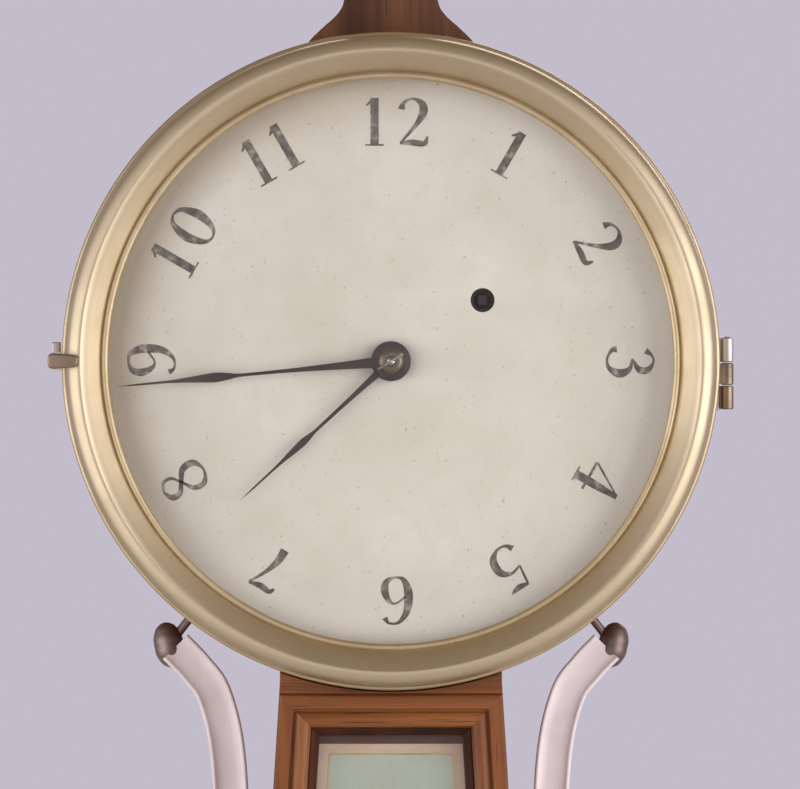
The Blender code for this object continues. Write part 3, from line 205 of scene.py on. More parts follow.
def wood(name, grain, tones, gloss=0.42, coat=0.1, figure_scale=1.0):
    """Straight-grained wood. Grain is x or z, or ring for grain that follows the round head."""
    finish = Finish(name, Coat_Weight=coat, Coat_Roughness=0.25, Specular_IOR_Level=0.25)
    if grain == "ring":
        radius, angle = finish.polar()
        sockets = {"X": finish.maths("MULTIPLY", angle, HEAD_R * MM), "Y": finish.axis("Y"), "Z": radius}
        finish.place = finish.add("CombineXYZ", sockets).outputs[0]
    along = "z" if grain == "z" else "x"

    def stretched(across, lengthways):
        return finish.scaled(*(lengthways if letter == along else across for letter in "xyz"))

    figure = finish.noise(stretched(38 * figure_scale, 2.4), 6.0, 0.9)
    streak = finish.noise(stretched(260 * figure_scale, 4.5), 3.0)
    pores = finish.noise(stretched(1500, 40), 2.0)
    patches = finish.cloud(9, 3.0)
    dark, middle, light = tones
    colour = finish.ramp(figure, (0.32, dark), (0.5, middle), (0.68, light))
    colour = finish.mix(finish.ramp(streak, (0.35, 0.55), (0.62, 0.0)), colour, dark)
    colour = finish.mix(finish.ramp(patches, (0.42, 0.0), (0.7, 0.35)), colour, light)
    pored = finish.ramp(pores, (0.6, 0.0), (0.7, 0.7))
    colour = finish.mix(pored, colour, dimmed(dark, 0.3))
    roughness = finish.ramp(patches, (0.35, gloss + 0.1), (0.65, gloss))
    sunk = finish.ramp(pores, (0.55, 1.0), (0.72, 0.0))
    return finish.done(colour, roughness, (sunk, 0.04), (streak, 0.05))


def metal(name, colour, tarnish, roughness=0.3, spread=0.5, turned_about=None, upright=False, grit=0.03,
        specked=0.5, metallic=1.0, over=None):
    """Metal with patchy tarnish, and the fine rings of the lathe where it was turned about a centre.

    Over is a function that paints one more colour over the finish's surface.
    """
    finish = Finish(name, Metallic=metallic)
    cloud = finish.cloud(55, 7.0)
    specks = finish.cloud(750, 2.0)
    share = finish.ramp(cloud, (0.5 - 0.28 * spread, 0.0), (0.5 + 0.3 * spread, 0.85))
    surface = finish.mix(share, colour, tarnish)
    surface = finish.mix(finish.ramp(specks, (0.66, 0.0), (0.74, specked)), surface, dimmed(tarnish, 0.4))
    surface = over(finish, surface) if over else surface
    if turned_about is None:
        marks = finish.noise(finish.scaled(260, 2600, 420), 3.0)
    else:
        rings_per_metre = 3000
        radius, _ = finish.polar(turned_about, upright)
        height = finish.axis("Z" if upright else "Y")
        sockets = {
            "X": finish.maths("MULTIPLY", radius, rings_per_metre),
            "Y": finish.maths("MULTIPLY", height, rings_per_metre)}
        marks = finish.noise(finish.add("CombineXYZ", sockets).outputs[0], 2.0)
    worn = finish.ramp(cloud, (0.3, roughness), (0.7, roughness + 0.16))
    marked = finish.ramp(marks, (0.3, roughness), (0.7, roughness + 0.08))
    return finish.done(surface, finish.mix(0.5, worn, marked), (marks, grit), (cloud, 0.12))


def worn_ridge(finish, surface):
    """Brass worn pale along the bezel's ridge, between 100 and 120 mm from the centre."""
    radius, _ = finish.polar()
    share = finish.maths("DIVIDE", finish.maths("SUBTRACT", radius, 100 * MM), 20 * MM)
    ridge = finish.ramp(share, (0.2, 0.1), (0.5, 0.8), (0.8, 0.8), (0.95, 0.2))
    return finish.mix(ridge, surface, (0.53, 0.46, 0.34))


def dial_paint():
    """Old white paint: warm patches, fine cracks, a painted shadow at the edge towards ten o'clock, painted
    light at the edge on the other side, and a few brown specks.
    """
    finish = Finish("dial_paint", Specular_IOR_Level=0.35)
    cloud, mottle, specks = finish.cloud(24, 6.0), finish.cloud(150, 5.0), finish.cloud(620, 1.0)
    cracks = finish.cracks(35.0, 6, 150.0)
    patchy = finish.ramp(finish.cloud(13, 3.0), (0.5, 0.0), (0.68, 0.13))
    radius, angle = finish.polar()
    warm, middle, pale = (0.59, 0.55, 0.495), (0.65, 0.612, 0.565), (0.68, 0.655, 0.622)
    colour = finish.ramp(cloud, (0.3, warm), (0.52, middle), (0.72, pale))
    colour = finish.mix(finish.ramp(mottle, (0.45, 0.0), (0.75, 0.4)), colour, (0.58, 0.54, 0.48))
    edge = finish.ramp(finish.maths("DIVIDE", radius, DIAL_R * MM), (0.79, 0.0), (0.9, 1.0))
    toward_ten = finish.maths("COSINE", finish.maths("SUBTRACT", angle, radians(-58)), 0.0)
    # Painted shadow: the edge darkened towards ten o'clock, where the bezel's shade falls on the dial.
    painted_shadow_at_rim = finish.maths("MULTIPLY", edge, finish.ramp(toward_ten, (0.1, 0.02), (0.85, 0.7)))
    # Painted light: the edge made paler on the other side, lifting the bezel's shade there.
    painted_light_at_rim = finish.maths("MULTIPLY", edge, finish.ramp(toward_ten, (0.0, 0.75), (0.5, 0.0)))
    colour = finish.mix(painted_light_at_rim, finish.mix(painted_shadow_at_rim, colour, (0.43, 0.36, 0.27)), (0.80, 0.76, 0.71))
    crazed = finish.maths("MULTIPLY", finish.ramp(cracks, (0.0, 1.0), (0.02, 0.0)), patchy)
    colour = finish.mix(crazed, colour, (0.42, 0.36, 0.29))
    colour = finish.mix(finish.ramp(specks, (0.70, 0.0), (0.76, 0.55)), colour, (0.33, 0.24, 0.15))
    sunk = finish.ramp(cracks, (0.0, 0.7), (0.02, 1.0))
    return finish.done(colour, finish.ramp(mottle, (0.3, 0.42), (0.7, 0.6)), (sunk, 0.01), (mottle, 0.08))


def numeral_paint():
    """Black paint gone brown-grey, rubbed thin in places."""
    finish = Finish("numeral_paint", Specular_IOR_Level=0.3)
    rubbed = finish.cloud(330, 5.0)
    black, brown, thin = (0.075, 0.066, 0.058), (0.16, 0.14, 0.125), (0.40, 0.36, 0.31)
    colour = finish.ramp(rubbed, (0.36, black), (0.56, brown), (0.72, thin))
    return finish.done(colour, finish.ramp(rubbed, (0.3, 0.5), (0.7, 0.65)), (rubbed, 0.03))


def clear_glass():
    """Window glass: what is behind it shows through, with a soft reflection and a little dust."""
    finish = Finish("clear_glass")
    dust = finish.cloud(70, 6.0)
    gloss = finish.add("BsdfGlossy", {"Color": (1.0, 1.0, 1.0)})
    finish.feed(gloss.inputs["Roughness"], finish.ramp(dust, (0.35, 0.03), (0.75, 0.12)))
    through = finish.add("BsdfTransparent", {"Color": (0.985, 0.992, 0.985)})
    grazing = finish.maths("POWER", finish.add("LayerWeight", {"Blend": 0.5}).outputs["Facing"], 5.0)
    dusty = finish.ramp(dust, (0.3, 0.014), (0.8, 0.03))
    finish.show(finish.maths("ADD", finish.maths("MULTIPLY", grazing, 0.8), dusty), through, gloss)
    finish.tree.nodes.remove(finish.shader)
    return finish.material


def paint(name, colour, aged, roughness=0.35):
    """Old oil paint behind glass: cloudy, with fine crazing."""
    finish = Finish(name, Specular_IOR_Level=0.4)
    cloud = finish.cloud(38, 6.0)
    strokes = finish.noise(finish.scaled(90, 90, 900), 3.0)
    cracks = finish.cracks(30.0, 8, 160.0)
    surface = finish.ramp(cloud, (0.32, colour), (0.72, aged))
    surface = finish.mix(finish.ramp(strokes, (0.5, 0.0), (0.75, 0.25)), surface, aged)
    surface = finish.mix(finish.ramp(cracks, (0.0, 0.22), (0.02, 0.0)), surface, dimmed(aged, 0.5))
    worn = finish.ramp(cloud, (0.3, roughness), (0.7, roughness + 0.15))
    return finish.done(surface, worn, (strokes, 0.04))


def rough_iron():
    """Sand-cast iron with a little rust."""
    finish = Finish("iron", Metallic=0.6)
    cloud = finish.cloud(45, 8.0)
    rusty = finish.ramp(cloud, (0.5, 0.0), (0.66, 0.8))
    colour = finish.mix(rusty, (0.085, 0.08, 0.078), (0.16, 0.07, 0.03))
    roughness = finish.ramp(cloud, (0.35, 0.5), (0.65, 0.85))
    return finish.done(colour, roughness, (finish.cloud(900, 4.0), 0.15), (cloud, 0.3))


def twisted_gut():
    """Gut cord: fine spiral strands along its length."""
    finish = Finish("gut_cord", Specular_IOR_Level=0.45)
    sockets = {"Vector": finish.scaled(700, 700, 900), "Scale": 1.0, "Distortion": 1.5}
    lay = finish.add("TexWave", sockets, bands_direction="DIAGONAL").outputs[1]
    colour = finish.ramp(lay, (0.2, (0.25, 0.15, 0.07)), (0.8, (0.56, 0.42, 0.24)))
    return finish.done(colour, finish.ramp(lay, (0.2, 0.65), (0.8, 0.45)), (lay, 0.08))


MAHOGANY = ((0.095, 0.025, 0.005), (0.21, 0.073, 0.019), (0.345, 0.138, 0.043))
# A darker copy of the mahogany: painted shade for the plinth above and behind the bezel.
SHADED_MAHOGANY_TONES = ((0.045, 0.013, 0.004), (0.11, 0.042, 0.015), (0.18, 0.075, 0.03))
# Near-black mahogany: painted shade for the recess round the throat's glass.
SLIP_SHADE_TONES = ((0.018, 0.005, 0.002), (0.045, 0.012, 0.004), (0.085, 0.025, 0.008))
NEW_PINE = ((0.20, 0.10, 0.042), (0.36, 0.20, 0.09), (0.46, 0.29, 0.15))
BRASS, TARNISH = (0.60, 0.46, 0.22), (0.30, 0.19, 0.075)

WOOD_Z = wood("mahogany_upright", "z", MAHOGANY)
WOOD_X = wood("mahogany_level", "x", MAHOGANY)
WOOD_RING = wood("mahogany_ring", "ring", MAHOGANY)
SHADED_WOOD = wood("mahogany_painted_shade_plinth", "z", SHADED_MAHOGANY_TONES)
SHADE_DARK_WOOD = wood("mahogany_painted_shade_slip", "z", SLIP_SHADE_TONES, 0.75, 0.0)
PINE = wood("pine", "z", NEW_PINE, 0.62, 0.0, 0.55)
BEZEL_BRASS = metal("bezel_brass", (0.54, 0.44, 0.29), (0.44, 0.34, 0.20), 0.44, turned_about=(0, 0),
    grit=0.012, over=worn_ridge)
BRASS_FLAT = metal("brass_flat", BRASS, TARNISH)
BRASS_UPRIGHT = metal("brass_finial", (0.66, 0.50, 0.24), TARNISH, 0.22, 0.4, (0, -FINIAL_DEPTH), True)
BRASS_BOB = metal("brass_bob", (0.68, 0.53, 0.27), TARNISH, 0.2, 0.4, BOB.middle())
BRASS_PULLEY = metal("brass_pulley", BRASS, TARNISH, 0.28, turned_about=PULLEY.middle())
# Pale, nearly matt brass; its lilac tint is a painted reflection of the lilac surroundings.
LILAC_REFLECTION_BRASS = metal("pale_brass", (0.78, 0.715, 0.755), (0.70, 0.64, 0.645), 0.5, 0.3, grit=0.01,
    specked=0.1, metallic=0.1)
DARK_STEEL = metal("dark_steel", (0.09, 0.08, 0.07), (0.04, 0.033, 0.028), 0.5)
DARK_KNOB = metal("dark_knob", (0.27, 0.215, 0.20), (0.13, 0.09, 0.08), 0.42)
BRONZE = metal("dark_bronze", (0.27, 0.21, 0.155), (0.14, 0.10, 0.07), 0.42)
GREY_BRASS = metal("grey_brass", (0.56, 0.52, 0.51), (0.44, 0.40, 0.38), 0.46)
COLLET_BRONZE = metal("collet_bronze", (0.24, 0.19, 0.14), (0.12, 0.09, 0.06), 0.38)
STEEL = metal("steel", (0.46, 0.45, 0.44), (0.24, 0.20, 0.17), 0.32)
BLUED = metal("blued_steel", (0.10, 0.085, 0.075), (0.055, 0.04, 0.032), 0.36, grit=0.01)
TIN = metal("tin", (0.55, 0.54, 0.51), (0.33, 0.30, 0.26), 0.42)
IRON = rough_iron()
DIAL_PAINT = dial_paint()
NUMERAL_PAINT = numeral_paint()
GUT = twisted_gut()
CLEAR = clear_glass()
CREAM_PAINT = paint("cream_paint", (0.55, 0.43, 0.345), (0.45, 0.325, 0.24))
AQUA_PAINT = paint("aqua_paint", (0.40, 0.46, 0.41), (0.36, 0.39, 0.33))
BROWN_PAINT = paint("brown_paint", (0.055, 0.02, 0.008), (0.08, 0.032, 0.014), 0.6)
GILT_PAINT = metal("gilt_line", (0.74, 0.53, 0.20), (0.42, 0.26, 0.09), 0.34)


# ---------------------------------------------------------------- outlines
def shifted(points, base):
    """An outline whose second coordinate was counted from a base."""
    return [(across, base + up) for across, up in points]


def mirrored(points):
    """The other half of an outline that is the same on both sides."""
    return [(-across, up) for across, up in reversed(points)]


def rounded(points, radius, steps=4, closed=True):
    """An outline with each of its corners rounded."""
    result = []
    for i, corner in enumerate(points):
        corner = Vector(corner)
        if not closed and i in (0, len(points) - 1):
            result.append(tuple(corner))
            continue
        before, after = Vector(points[i - 1]) - corner, Vector(points[(i + 1) % len(points)]) - corner
        reach = min(radius, before.length * 0.48, after.length * 0.48)
        start, end = corner + before.normalized() * reach, corner + after.normalized() * reach
        for step in range(steps + 1):
            t = step / steps
            result.append(tuple((1 - t) ** 2 * start + 2 * t * (1 - t) * corner + t * t * end))
    return result


def flowing(points, steps=6):
    """A smooth curve through the points, which may have any number of coordinates."""
    points = [Vector(point) for point in points]
    padded = [2 * points[0] - points[1], *points, 2 * points[-1] - points[-2]]
    path = []
    for a, b, c, d in zip(padded, padded[1:], padded[2:], padded[3:]):
        bend, twist = 2 * a - 5 * b + 4 * c - d, 3 * b - a - 3 * c + d
        for step in range(steps):
            t = step / steps
            path.append(0.5 * (2 * b + (c - a) * t + bend * t * t + twist * t ** 3))
    return [tuple(point) for point in [*path, points[-1]]]


def arc(centre, radius, start, end, steps=8, up=None):
    """Points of an arc, in degrees; up is its upright radius where that isn't the same."""
    points = []
    for i in range(steps + 1):
        angle = radians(start + (end - start) * i / steps)
        points.append((centre[0] + radius * cos(angle), centre[1] + (up or radius) * sin(angle)))
    return points


def circle(radius, centre=(0, 0), steps=96, up=None):
    return arc(centre, radius, 0, 360 - 360 / steps, steps - 1, up)


def inset(corners, distance):
    """Four corners moved inwards; they run bottom left, bottom right, top right, top left."""
    ways = ((1, 1), (-1, 1), (-1, -1), (1, -1))
    return [(x + distance * right, z + distance * up) for (x, z), (right, up) in zip(corners, ways)]


def across_path(path, i):
    """Unit vector across a path of (x, z, ...) points at one of them."""
    ahead, behind = path[min(i + 1, len(path) - 1)], path[max(i - 1, 0)]
    direction = Vector((ahead[0] - behind[0], ahead[1] - behind[1]))
    direction = direction.normalized() if direction.length > 1e-9 else Vector((0, 1))
    return Vector((direction.y, -direction.x))


# ---------------------------------------------------------------- meshes and pieces
def place_at(x, depth, z):
    return Vector((x, -depth, z))


def rides(piece, body, slot, *nodes):
    """Put a finished piece on its body, and hide the CAD nodes that it stands for. The slot is not used."""
    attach(piece, body)
    if nodes:
        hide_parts(*nodes)


def object_from(name, shape, material, scale=MM):
    """An object from a bmesh, which is in millimetres unless the scale is 1."""
    bmesh.ops.scale(shape, vec=(scale, scale, scale), verts=shape.verts)
    if scale == MM:
        bmesh.ops.recalc_face_normals(shape, faces=shape.faces)
    mesh = bpy.data.meshes.new(name)
    shape.to_mesh(mesh)
    shape.free()
    mesh.materials.append(material)
    piece = bpy.data.objects.new(name, mesh)
    bpy.context.scene.collection.objects.link(piece)
    return piece


def piece_from(name, shape, material, smooth_angle=35):
    """The same, welded, with soft shading except across sharp edges."""
    bmesh.ops.remove_doubles(shape, verts=shape.verts, dist=0.001)
    piece = object_from(name, shape, material)
    piece.data.shade_smooth()
    piece.data.set_sharp_from_angle(angle=radians(smooth_angle))
    return piece


def joined(name, pieces):
    """Several meshes as one object."""
    shape = bmesh.new()
    for piece in pieces:
        shape.from_mesh(piece.data)
    material = pieces[0].data.materials[0]
    for piece in pieces:
        bpy.data.objects.remove(piece, do_unlink=True)
    result = object_from(name, shape, material, 1.0)
    result.data.set_sharp_from_angle(angle=radians(35))
    return result


def cut(piece, *cutters):
    """Take the shapes of the cutters out of a piece."""
    for cutter in cutters:
        change = piece.modifiers.new("cut", "BOOLEAN")
        change.operation = "DIFFERENCE"
        change.object = cutter
        evaluated = piece.evaluated_get(bpy.context.evaluated_depsgraph_get())
        mesh = bpy.data.meshes.new_from_object(evaluated)
        piece.modifiers.clear()
        piece.data = mesh
        bpy.data.objects.remove(cutter, do_unlink=True)
    piece.data.set_sharp_from_angle(angle=radians(35))
    return piece


def loft(shape, rings):
    """A skin over rings of points, equal in number, closed at both ends."""
    layers = [[shape.verts.new(point) for point in ring] for ring in rings]
    count = len(layers[0])
    for a, b in zip(layers, layers[1:]):
        for i in range(count):
            j = (i + 1) % count
            shape.faces.new((a[i], a[j], b[j], b[i]))
    shape.faces.new(layers[0][::-1])
    shape.faces.new(layers[-1])


def turned(name, profile, material, at=(0, 0), upright=False, closed=False, steps=96, flute=None):
    """A lathe-turned piece. The profile is (radius, depth), or (radius, z) when upright."""
    shape = bmesh.new()
    rings = []
    for radius, height in profile:
        ring = []
        for i in range(steps if radius > 0 else 1):
            angle = 2 * pi * i / steps
            reach = radius * (flute(height, angle) if flute else 1.0)
            x, other = at[0] + reach * sin(angle), at[1] + reach * cos(angle)
            ring.append(shape.verts.new((x, other, height) if upright else (x, -height, other)))
        rings.append(ring)
    pairs = list(zip(rings, rings[1:])) + ([(rings[-1], rings[0])] if closed else [])
    for a, b in pairs:
        for i in range(steps):
            j = (i + 1) % steps
            corners = [a[i % len(a)], a[j % len(a)], b[j % len(b)], b[i % len(b)]]
            distinct = [v for k, v in enumerate(corners) if v not in corners[:k]]
            if len(distinct) > 2:
                shape.faces.new(distinct)
    return piece_from(name, shape, material)


def rod(name, radius, low, high, material, at=(0, 0), upright=False, steps=32):
    """A plain round bar."""
    profile = [(0, low), (radius, low), (radius, high), (0, high)]
    return turned(name, profile, material, at, upright, steps=steps)


def slab(name, outlines, depth, material, bevel=0.3, rounding=2):
    """A flat piece with soft edges, cut to closed (x, z) outlines; inner outlines are holes."""
    curve = bpy.data.curves.new(name, "CURVE")
    curve.dimensions = "2D"
    curve.fill_mode = "BOTH"
    curve.extrude = (depth[1] - depth[0]) / 2 - bevel
    curve.bevel_depth = bevel
    curve.bevel_resolution = rounding
    curve.offset = -bevel
    for outline in outlines:
        spline = curve.splines.new("POLY")
        spline.points.add(len(outline) - 1)
        for point, (x, z) in zip(spline.points, outline):
            point.co = (x, z, 0.0, 1.0)
        spline.use_cyclic_u = True
    guide = bpy.data.objects.new(name + "_guide", curve)
    bpy.context.scene.collection.objects.link(guide)
    evaluated = guide.evaluated_get(bpy.context.evaluated_depsgraph_get())
    shape = bmesh.new()
    shape.from_mesh(bpy.data.meshes.new_from_object(evaluated))
    bpy.data.objects.remove(guide, do_unlink=True)
    stand = Matrix.Translation((0, -(depth[0] + depth[1]) / 2, 0)) @ Matrix.Rotation(radians(90), 4, "X")
    bmesh.ops.transform(shape, matrix=stand, verts=shape.verts)
    return piece_from(name, shape, material)


def block(name, x, depth, z, material, bevel=0.8):
    """A board or bar with softened edges."""
    shape = bmesh.new()
    bmesh.ops.create_cube(shape, size=1.0)
    bmesh.ops.scale(shape, vec=(x[1] - x[0], depth[1] - depth[0], z[1] - z[0]), verts=shape.verts)
    centre = place_at((x[0] + x[1]) / 2, (depth[0] + depth[1]) / 2, (z[0] + z[1]) / 2)
    bmesh.ops.translate(shape, vec=centre, verts=shape.verts)
    bmesh.ops.bevel(shape, geom=shape.edges[:], offset=bevel, segments=3, affect="EDGES", profile=0.5)
    return piece_from(name, shape, material, 50)


def framed(name, outer, inner, section, body, materials, *nodes):
    """A frame of four mitred members: bottom, right, top and left. The first stands for the CAD nodes.

    The section is (part of the way from an outer corner to its inner one, depth), as a closed outline.
    """
    corners = list(zip(outer, inner))
    for i, side in enumerate(("bottom", "right", "top", "left")):
        rings = []
        for (x, z), (inner_x, inner_z) in (corners[i], corners[(i + 1) % 4]):
            rings.append([place_at(x + (inner_x - x) * part, depth, z + (inner_z - z) * part)
                for part, depth in section])
        shape = bmesh.new()
        loft(shape, rings)
        member = piece_from(f"{name}_{side}", shape, materials[i % 2], 28)
        rides(member, body, "mahogany", *(nodes if i == 0 else ()))


def swept(name, path, section, material):
    """A bar of closed (across, depth) section along a path of (x, z) points."""
    shape = bmesh.new()
    rings = []
    for i, (x, z) in enumerate(path):
        across = across_path(path, i)
        rings.append([place_at(x + across.x * u, depth, z + across.y * u) for u, depth in section])
    loft(shape, rings)
    return piece_from(name, shape, material)


def screws(name, places, facing, radius, body):
    """Round-headed slotted steel screws. Places are points on the surface; facing is outwards."""
    stand = Vector(facing).to_track_quat("Z", "Y").to_matrix().to_4x4()
    shape = bmesh.new()
    slot_half, dome = radius * 0.17, radius * 0.42
    lean = asin(slot_half / radius)
    rim = [lean + (pi - 2 * lean) * i / 12 for i in range(13)]
    layers = ((1.0, -0.3), (1.0, dome * 0.35), (0.8, dome * 0.82), (0.45, dome))
    for number, place in enumerate(places):
        turn = Matrix.Rotation(0.6 + 1.7 * number, 4, "Z")
        to_place = Matrix.Translation(Vector(place)) @ stand @ turn
        for half in (1, -1):
            rings = []
            for share, height in layers:
                reach = radius * share
                points = [(reach * cos(angle), max(reach * sin(angle), slot_half)) for angle in rim]
                rings.append([to_place @ Vector((half * x, half * y, height)) for x, y in points])
            loft(shape, rings)
    rides(object_from(name, shape, STEEL), body, "steel")


def dress(material, bevel, *nodes):
    """Give CAD nodes whose shape is right a finish, and soften their edges."""
    for name in nodes:
        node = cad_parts[name]
        node.data.materials.clear()
        node.data.materials.append(material)
        if bevel:
            soft = node.modifiers.new("soft_edges", "BEVEL")
            soft.width = bevel * MM
            soft.segments = 2
            soft.limit_method = "ANGLE"
            soft.angle_limit = radians(40)


# ---------------------------------------------------------------- head, plinth and finial
def make_head():
    """Turned ring with a rebate for the dial, a mouth into the throat and a mortise for the catch."""
    rear, front = HEAD.depth
    bore, lip, rebate = 103.0, DIAL_R + 0.5, DIAL.depth[0] - GAP
    edge = 2.0
    profile = [(lip, front), *arc((HEAD_R - edge, front - edge), edge, 90, 0, 5), (HEAD_R, rear),
        (bore, rear), (bore, rebate), (lip, rebate)]
    ring = turned("head_ring_turned", profile, WOOD_RING, closed=True, steps=180)
    mouth = block("mouth", (-32, 32), (rear - 2, 66.5), (-125, -80), WOOD_RING, 0.1)
    mortise = block("mortise", (-119, -113.6), (75.2, 79.0), (-3.4, 7.6), WOOD_RING, 0.1)
    rides(cut(ring, mouth, mortise), "case", "mahogany", "head_ring")


def make_plinth():
    """Block on the head with concave sides under a moulded cap; its darker copy of the mahogany is painted
    shade.
    """
    span = Span("finial_plinth")
    top, foot_half = span.z[1], 31.0
    flare = flowing([(foot_half, sqrt(HEAD_R ** 2 - foot_half ** 2)), (30.2, 116.4), (28.2, 118.8),
        (24.3, 122.5), (20.6, 125.8), (18.0, 129.2), (16.8, 133.5), (16.4, top - 6.4)], 5)
    cap = [(17.6, -6.2), *arc((17.6, -4.2), 2.0, -70, 70, 6), (17.2, -2.0), (18.4, -1.6), (18.4, 0)]
    right = flare + shifted(cap, top)
    seat_angle = 15.3
    seat = arc((0, 0), HEAD_R + GAP, 90 + seat_angle, 90 - seat_angle, 16)
    plinth = slab("plinth_block", [seat[1:-1] + right + mirrored(right)], span.depth, SHADED_WOOD, 0.7)
    rides(plinth, "case", "mahogany", "finial_plinth")


def make_finial():
    """Turned brass urn with an acorn on top."""
    base, top = Span("finial").z
    tip = top - base

    def gadroons(height, angle):
        """Lobes round the lower half of the urn, which die away at both ends."""
        rise, fade = height - base, 6
        inside = max(0.0, min(1.0, (rise - 9) / fade)) * max(0.0, min(1.0, (32 - rise) / fade))
        return 1.0 + 0.045 * inside * abs(sin(7 * angle))

    foot = rounded([(12.0, 0), (12.0, 3.2), (8.4, 4.6), (7.6, 8.6), (5.0, 11.5)], 1.2, 3, False)
    urn = flowing([(4.6, 13), (9.0, 16.5), (12.6, 20.5), (14.6, 26), (13.6, 31), (11.6, 33.4)])
    collar = rounded([(11.4, 34), (15.0, 35), (15.0, 37.2), (12.4, 38.2)], 0.9, 4, False)
    acorn = flowing([(12.6, 39.6), (12.4, 44), (10.6, 49.5), (7.0, 55.5), (3.4, 60.5), (1.6, tip - 3)])
    profile = [(0, 0), *foot, *urn, *collar, *acorn, (1.0, tip - 0.8), (0, tip)]
    finial = turned("finial_urn", shifted(profile, base), BRASS_UPRIGHT, (0, -FINIAL_DEPTH), True, steps=112,
        flute=gadroons)
    rides(finial, "case", "brass", "finial")


# ---------------------------------------------------------------- dial, numerals and hands
def make_dial():
    """Flat painted disc with holes for the hands and for the winding square."""
    hand_hole_r, winding_hole_r = 5.6, 4.35
    holes = [circle(hand_hole_r, steps=48), circle(winding_hole_r, WINDING, 48)]
    disc = slab("dial_disc", [circle(DIAL_R, steps=192), *holes], DIAL.depth, DIAL_PAINT, 0.25)
    rides(disc, "case", "dial_paint", "dial")


# strokes of the figures, in hundredths of their height: each is (across, up, pen width) from end to end
FIGURES = {
    "0": [
        [(0, 97.5, 4), (-15, 87, 9), (-23, 50, 16.5), (-15, 13, 9), (0, 2.5, 4), (15, 13, 9),
            (23, 50, 16.5), (15, 87, 9), (0, 97.5, 4)]],
    "1": [
        [(0, 100, 15), (0, 50, 15), (0, 2, 15)],
        [(-15, 84, 3), (-3, 95, 9)],
        [(-17, 2, 3.5), (17, 2, 3.5)]],
    "2": [
        [(-20, 76, 13), (-16, 90, 7), (0, 98, 5), (17, 88, 13), (19, 68, 15), (5, 42, 8), (-22, 6, 4)],
        [(-23, 6, 5), (0, 7, 13), (21, 5, 11), (27, 20, 3)]],
    "3": [
        [(-19, 82, 12), (-10, 95, 5), (2, 98, 5), (16, 86, 12), (15, 68, 12), (-4, 54, 3.5)],
        [(-4, 54, 3.5), (15, 48, 10), (22, 27, 16), (12, 6, 9), (-5, 2, 5), (-20, 12, 8), (-22, 22, 13)]],
    "4": [
        [(8, 100, 3), (-28, 30, 4.5)],
        [(-28, 29, 6), (27, 29, 6)],
        [(9, 100, 9), (9, 50, 15), (9, 2, 15)],
        [(-6, 2, 3.5), (23, 2, 3.5)]],
    "5": [
        [(-15, 95, 6), (4, 93, 12), (21, 98, 4)],
        [(-14, 94, 5), (-17, 54, 3.5)],
        [(-17, 54, 3.5), (3, 60, 7), (20, 48, 14), (21, 20, 14), (5, 3, 6), (-12, 4, 6), (-21, 16, 12)]],
    "6": [
        [(20, 86, 11), (12, 97, 5), (-6, 95, 7), (-20, 72, 13), (-23, 36, 16), (-15, 8, 10), (0, 2, 5),
            (16, 10, 11), (20, 30, 14), (12, 51, 9), (0, 56, 4), (-18, 42, 5)]],
    "7": [
        [(-23, 84, 4), (-17, 94, 10), (2, 92, 13), (23, 98, 4)],
        [(23, 96, 4), (6, 62, 7), (-4, 30, 13), (-5, 3, 16)]],
    "8": [
        [(0, 98, 4), (-16, 88, 11), (-16, 69, 10), (0, 56, 9), (19, 40, 12), (20, 14, 12), (0, 2, 5),
            (-21, 14, 10), (-20, 38, 9), (0, 55, 5), (15, 70, 6), (15, 88, 6), (0, 98, 4)]]}
FIGURES["9"] = [[(-x, 100 - z, width) for x, z, width in stroke] for stroke in FIGURES["6"]]
HAND_PAINTED_SHIFT = {12: 12, 10: 5, 6: -10}
FIGURE_HEIGHT, FIGURE_MIDDLE_R = 17.5, 87.0


def pen_stroke(shape, points, turn, rear, front):
    """A raised pen stroke whose width changes along it; turn places a figure's point on the dial."""
    path = flowing(points, 5)
    rings = []
    for i, (x, z, width) in enumerate(path):
        across = across_path(path, i) * width / 2
        left, right = (turn(x + side * across.x, z + side * across.y) for side in (-1, 1))
        corners = ((left, rear), (left, front), (right, front), (right, rear))
        rings.append([place_at(x_there, depth, z_there) for (x_there, z_there), depth in corners])
    loft(shape, rings)


def make_numerals():
    """The hours in old serif figures, their feet towards the centre."""
    unit = FIGURE_HEIGHT / 100
    for hour in range(1, 13):
        angle = 2 * pi * hour / 12
        shape = bmesh.new()
        widths = [66 if figure == "1" else 92 for figure in str(hour)]
        left = HAND_PAINTED_SHIFT.get(hour, 0) - sum(widths) / 2
        layer = 0
        for figure, width in zip(str(hour), widths):
            middle = left + width / 2
            left += width

            def turn(x, z, middle=middle):
                across, up = (x * 1.15 + middle) * unit, FIGURE_MIDDLE_R + (z - 50) * unit
                return across * cos(angle) + up * sin(angle), up * cos(angle) - across * sin(angle)

            for stroke in FIGURES[figure]:
                pen_stroke(shape, stroke, turn, DIAL_FRONT - 0.1, DIAL_FRONT + 0.05 + 0.008 * layer)
                layer += 1
        rides(piece_from(f"numeral_{hour}", shape, NUMERAL_PAINT), "case", "dial_paint")


def make_hand(node, body, angle, length, hub_r, bore, half_widths):
    """A filed steel hand: a round boss, a tapering stem, a barb and a fine point."""
    lean = degrees(asin(half_widths[0][0] / hub_r))
    right = arc((0, 0), hub_r, -90, 90 - lean, 14) + flowing(half_widths)
    outline = right + [(0, length)] + mirrored(right[1:])
    hand = slab(f"{node}_filed", [outline, circle(bore, steps=32)], Span(node).depth, BLUED, 0.18)
    hand.data.transform(Matrix.Rotation(radians(angle), 4, "Y"))
    rides(hand, body, "blued_steel", node)


